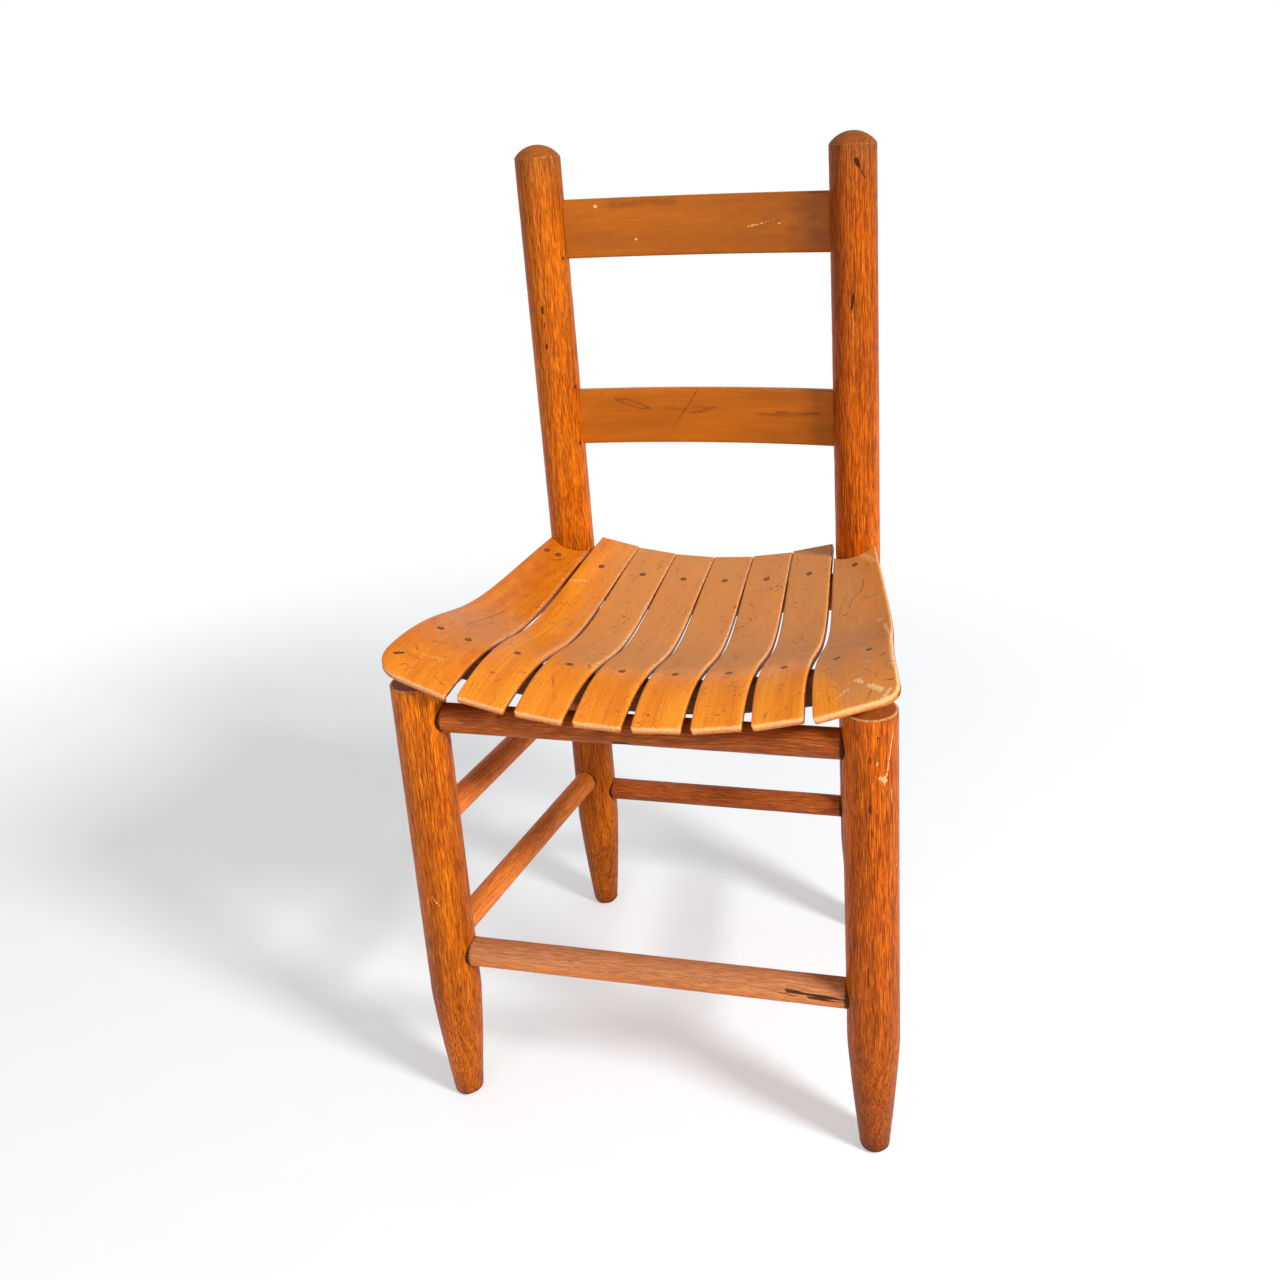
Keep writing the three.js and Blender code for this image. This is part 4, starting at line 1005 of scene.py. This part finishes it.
def nail_tree(sizes):
    """Geometry Nodes: one nail for each point, turned to the point's drive."""
    tree = bpy.data.node_groups.new("driven_nails", "GeometryNodeTree")
    tree.interface.new_socket("Points", in_out="INPUT", socket_type="NodeSocketGeometry")
    for key in sizes:
        tree.interface.new_socket(key, in_out="INPUT", socket_type="NodeSocketFloat")
    tree.interface.new_socket("Material", in_out="INPUT", socket_type="NodeSocketMaterial")
    tree.interface.new_socket("Nails", in_out="OUTPUT", socket_type="NodeSocketGeometry")
    given = add(tree, "NodeGroupInput").node.outputs

    ball = {"Segments": 20, "Rings": 12, "Radius": given["Head radius"]}
    ball = add(tree, "GeometryNodeMeshUVSphere", ball)
    flat = add(tree, "ShaderNodeMath", {0: given["Crown"], 1: given["Head radius"]}, operation="DIVIDE")
    squash = add(tree, "ShaderNodeCombineXYZ", {0: 1.0, 1: 1.0, 2: flat})
    head = add(tree, "GeometryNodeTransform", {"Geometry": ball, "Scale": squash})
    pin = {"Vertices": 14, "Radius Top": given["Shank radius"], "Radius Bottom": given["Point radius"]}
    pin = add(tree, "GeometryNodeMeshCone", {**pin, "Depth": given["Length"]})
    down = add(tree, "ShaderNodeMath", {0: given["Length"], 1: -1.0}, operation="MULTIPLY")
    down = add(tree, "ShaderNodeCombineXYZ", {2: down})
    shank = add(tree, "GeometryNodeTransform", {"Geometry": pin, "Translation": down})
    nail = add(tree, "GeometryNodeJoinGeometry", {0: head})
    tree.links.new(shank, nail.node.inputs[0])
    smooth = add(tree, "GeometryNodeSetShadeSmooth", {"Geometry": nail})

    drive = {"Name": "drive"}
    drive = add(tree, "GeometryNodeInputNamedAttribute", drive, data_type="FLOAT_VECTOR")
    turn = add(tree, "FunctionNodeAlignRotationToVector", {"Vector": drive}, axis="Z")
    placed = {"Points": given["Points"], "Instance": smooth, "Rotation": turn}
    placed = add(tree, "GeometryNodeInstanceOnPoints", placed)
    real = add(tree, "GeometryNodeRealizeInstances", {0: placed})
    painted = add(tree, "GeometryNodeSetMaterial", {"Geometry": real, "Material": given["Material"]})
    add(tree, "NodeGroupOutput", {0: painted})
    return tree


places, drives = nail_places()
nail_points = bpy.data.meshes.new("nail_points")
nail_points.from_pydata([tuple(place) for place in places], [], [])
layer = nail_points.attributes.new("drive", "FLOAT_VECTOR", "POINT")
layer.data.foreach_set("vector", np.array(drives, np.float32).ravel())
driven = bpy.data.objects.new("driven_nails", nail_points)
nail_sizes = {
    "Head radius": NAIL_RADIUS * MM,
    "Crown": NAIL_CROWN * MM,
    "Shank radius": SHANK_RADIUS * MM,
    "Point radius": NAIL_POINT * MM,
    "Length": NAIL_LENGTH * MM,
}
nailing = driven.modifiers.new("nails", "NODES")
nailing.node_group = nail_tree(nail_sizes)
nail_inputs = {**nail_sizes, "Material": tarnished_steel("tarnished_nail_steel", "#5A3A20", "#8E6644")}
for item in nailing.node_group.interface.items_tree:
    if item.name in nail_inputs:
        nailing[item.identifier] = nail_inputs[item.name]
bpy.context.scene.collection.objects.link(driven)
graph = bpy.context.evaluated_depsgraph_get()
nail_mesh = bpy.data.meshes.new_from_object(driven.evaluated_get(graph), depsgraph=graph)
driven.modifiers.clear()
bpy.data.objects.remove(driven)
nails = bpy.data.objects.new("nails", nail_mesh)
bpy.context.scene.collection.objects.link(nails)
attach(nails, "root")
front_nails = [f"nail_front_{i}" for i in range(1, 11)]
back_nails = [f"nail_back_{i}" for i in range(1, 9)]
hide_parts(*front_nails, *back_nails, "nail_extra")


# Floor, light and camera
# A pale studio floor and white surround, one large soft lamp from the right and a weak one in front.
# Their places and sizes are in metres. The camera was solved from the uprights, rungs and back slats.

FLOOR_HALF, FLOOR_LIFT, SURROUND_LIGHT = 20.0, 0.38, 0.38
# the floor keeps its shadow within the first reach of the centre, and is plain white past the second
SHADOW_CENTRE, SHADOW_REACH, WHITE_REACH = (-0.3, 0.05, 0), 0.62, 1.25
FLOOR_DROP = 0.5 * MM  # keeps the floor off the flats of the feet


def seen_ray(tree):
    """1 for the rays that show the floor and surround to the eye, 0 for those that light the chair."""
    path = add(tree, "ShaderNodeLightPath").node.outputs
    seen = {0: path["Is Camera Ray"], 1: path["Is Glossy Ray"]}
    seen = add(tree, "ShaderNodeMath", seen, operation="MAXIMUM")
    return add(tree, "ShaderNodeMath", {0: seen, 1: path["Is Transmission Ray"]}, operation="MAXIMUM")


def matt_white(name):
    """Matt white studio floor: it lights the chair as paint would, is lifted to white for the eye far
    from the chair, and keeps the chair's shadow round it."""
    material, tree = new_tree(name)
    place = add(tree, "ShaderNodeTexCoord").node.outputs["Object"]
    mottle = add(tree, "ShaderNodeTexNoise", {"Vector": place, "Scale": 30.0})
    paint = {0: mottle, 6: srgb("#F1F1F2"), 7: srgb("#F7F7F8")}
    paint = add(tree, "ShaderNodeMix", paint, data_type="RGBA")
    white = add(tree, "ShaderNodeBsdfDiffuse", {"Color": paint})
    grey = add(tree, "ShaderNodeMix", {0: mottle, 6: srgb("#CCCFD2"), 7: srgb("#CFD2D5")}, data_type="RGBA")
    grey = add(tree, "ShaderNodeBsdfDiffuse", {"Color": grey})
    glow = add(tree, "ShaderNodeEmission", {"Color": (1, 1, 1, 1), "Strength": FLOOR_LIFT})
    near = add(tree, "ShaderNodeAddShader", {0: grey, 1: glow})
    far = add(tree, "ShaderNodeEmission", {"Color": (1, 1, 1, 1), "Strength": 1.0})
    away = add(tree, "ShaderNodeVectorMath", {0: place, 1: SHADOW_CENTRE}, operation="DISTANCE")
    away = {0: away, 1: SHADOW_REACH, 2: WHITE_REACH}
    away = add(tree, "ShaderNodeMapRange", away, interpolation_type="SMOOTHSTEP")
    shown = add(tree, "ShaderNodeMixShader", {0: away, 1: near, 2: far})
    shown = add(tree, "ShaderNodeMixShader", {0: seen_ray(tree), 1: white, 2: shown})
    add(tree, "ShaderNodeOutputMaterial", {"Surface": shown})
    return material


floor_mesh = bpy.data.meshes.new("floor")
corners = [(-1, -1, 0), (1, -1, 0), (1, 1, 0), (-1, 1, 0)]
floor_mesh.from_pydata([tuple(FLOOR_HALF * c for c in corner) for corner in corners], [], [(0, 1, 2, 3)])
floor_mesh.materials.append(matt_white("matt_white_floor"))
floor = bpy.data.objects.new("floor", floor_mesh)
bpy.context.scene.collection.objects.link(floor)
floor.location.z = -FLOOR_DROP

world = bpy.data.worlds.new("white_surround")
bpy.context.scene.world = world
world.use_nodes = True
sky = world.node_tree
sky.nodes.clear()
strength = {0: seen_ray(sky), 1: 1 - SURROUND_LIGHT, 2: SURROUND_LIGHT}
strength = add(sky, "ShaderNodeMath", strength, operation="MULTIPLY_ADD")
background = add(sky, "ShaderNodeBackground", {"Color": (1, 1, 1, 1), "Strength": strength})
add(sky, "ShaderNodeOutputWorld", {"Surface": background})


def soft_lamp(name, place, aim, size, watts):
    """A round lamp turned to its aim."""
    light = bpy.data.lights.new(name, "AREA")
    light.shape, light.size, light.energy = "DISK", size, watts
    lamp = bpy.data.objects.new(name, light)
    lamp.location = place
    lamp.rotation_euler = (Vector(aim) - Vector(place)).to_track_quat("-Z", "Y").to_euler()
    bpy.context.scene.collection.objects.link(lamp)


soft_lamp("key", place=(2.6, -1.2, 2.15), aim=(0, 0, 0.3), size=0.7, watts=120)
soft_lamp("fill", place=(-0.8, -2.4, 0.9), aim=(0, 0, 0.4), size=1.6, watts=16)

YAW, PITCH, ROLL = map(math.radians, (-13.780, 18.871, -3.242))
CAMERA_PLACE = (0.28303, -0.97446, 0.87584)
FOCAL_PIXELS, CENTRE_X, CENTRE_Y, FRAME_PIXELS, SENSOR = 1220, 717.36, 502.14, 1280, 36.0
ahead = Vector((math.sin(YAW) * math.cos(PITCH), math.cos(YAW) * math.cos(PITCH), -math.sin(PITCH)))
level = Vector((math.cos(YAW), -math.sin(YAW), 0))
upward = level.cross(ahead)
rolled_right = math.cos(ROLL) * level + math.sin(ROLL) * upward
rolled_up = math.cos(ROLL) * upward - math.sin(ROLL) * level
lens = bpy.data.cameras.new("camera")
lens.sensor_width = SENSOR
lens.lens = FOCAL_PIXELS * SENSOR / FRAME_PIXELS
lens.shift_x = (FRAME_PIXELS / 2 - CENTRE_X) / FRAME_PIXELS
lens.shift_y = (CENTRE_Y - FRAME_PIXELS / 2) / FRAME_PIXELS
lens.clip_start, lens.clip_end = 0.05, 50
camera = bpy.data.objects.new("camera", lens)
bpy.context.scene.collection.objects.link(camera)
turned_view = Matrix((rolled_right, rolled_up, -ahead)).transposed().to_4x4()
camera.matrix_world = Matrix.Translation(CAMERA_PLACE) @ turned_view
bpy.context.scene.camera = camera
bpy.context.scene.view_settings.view_transform = "Standard"
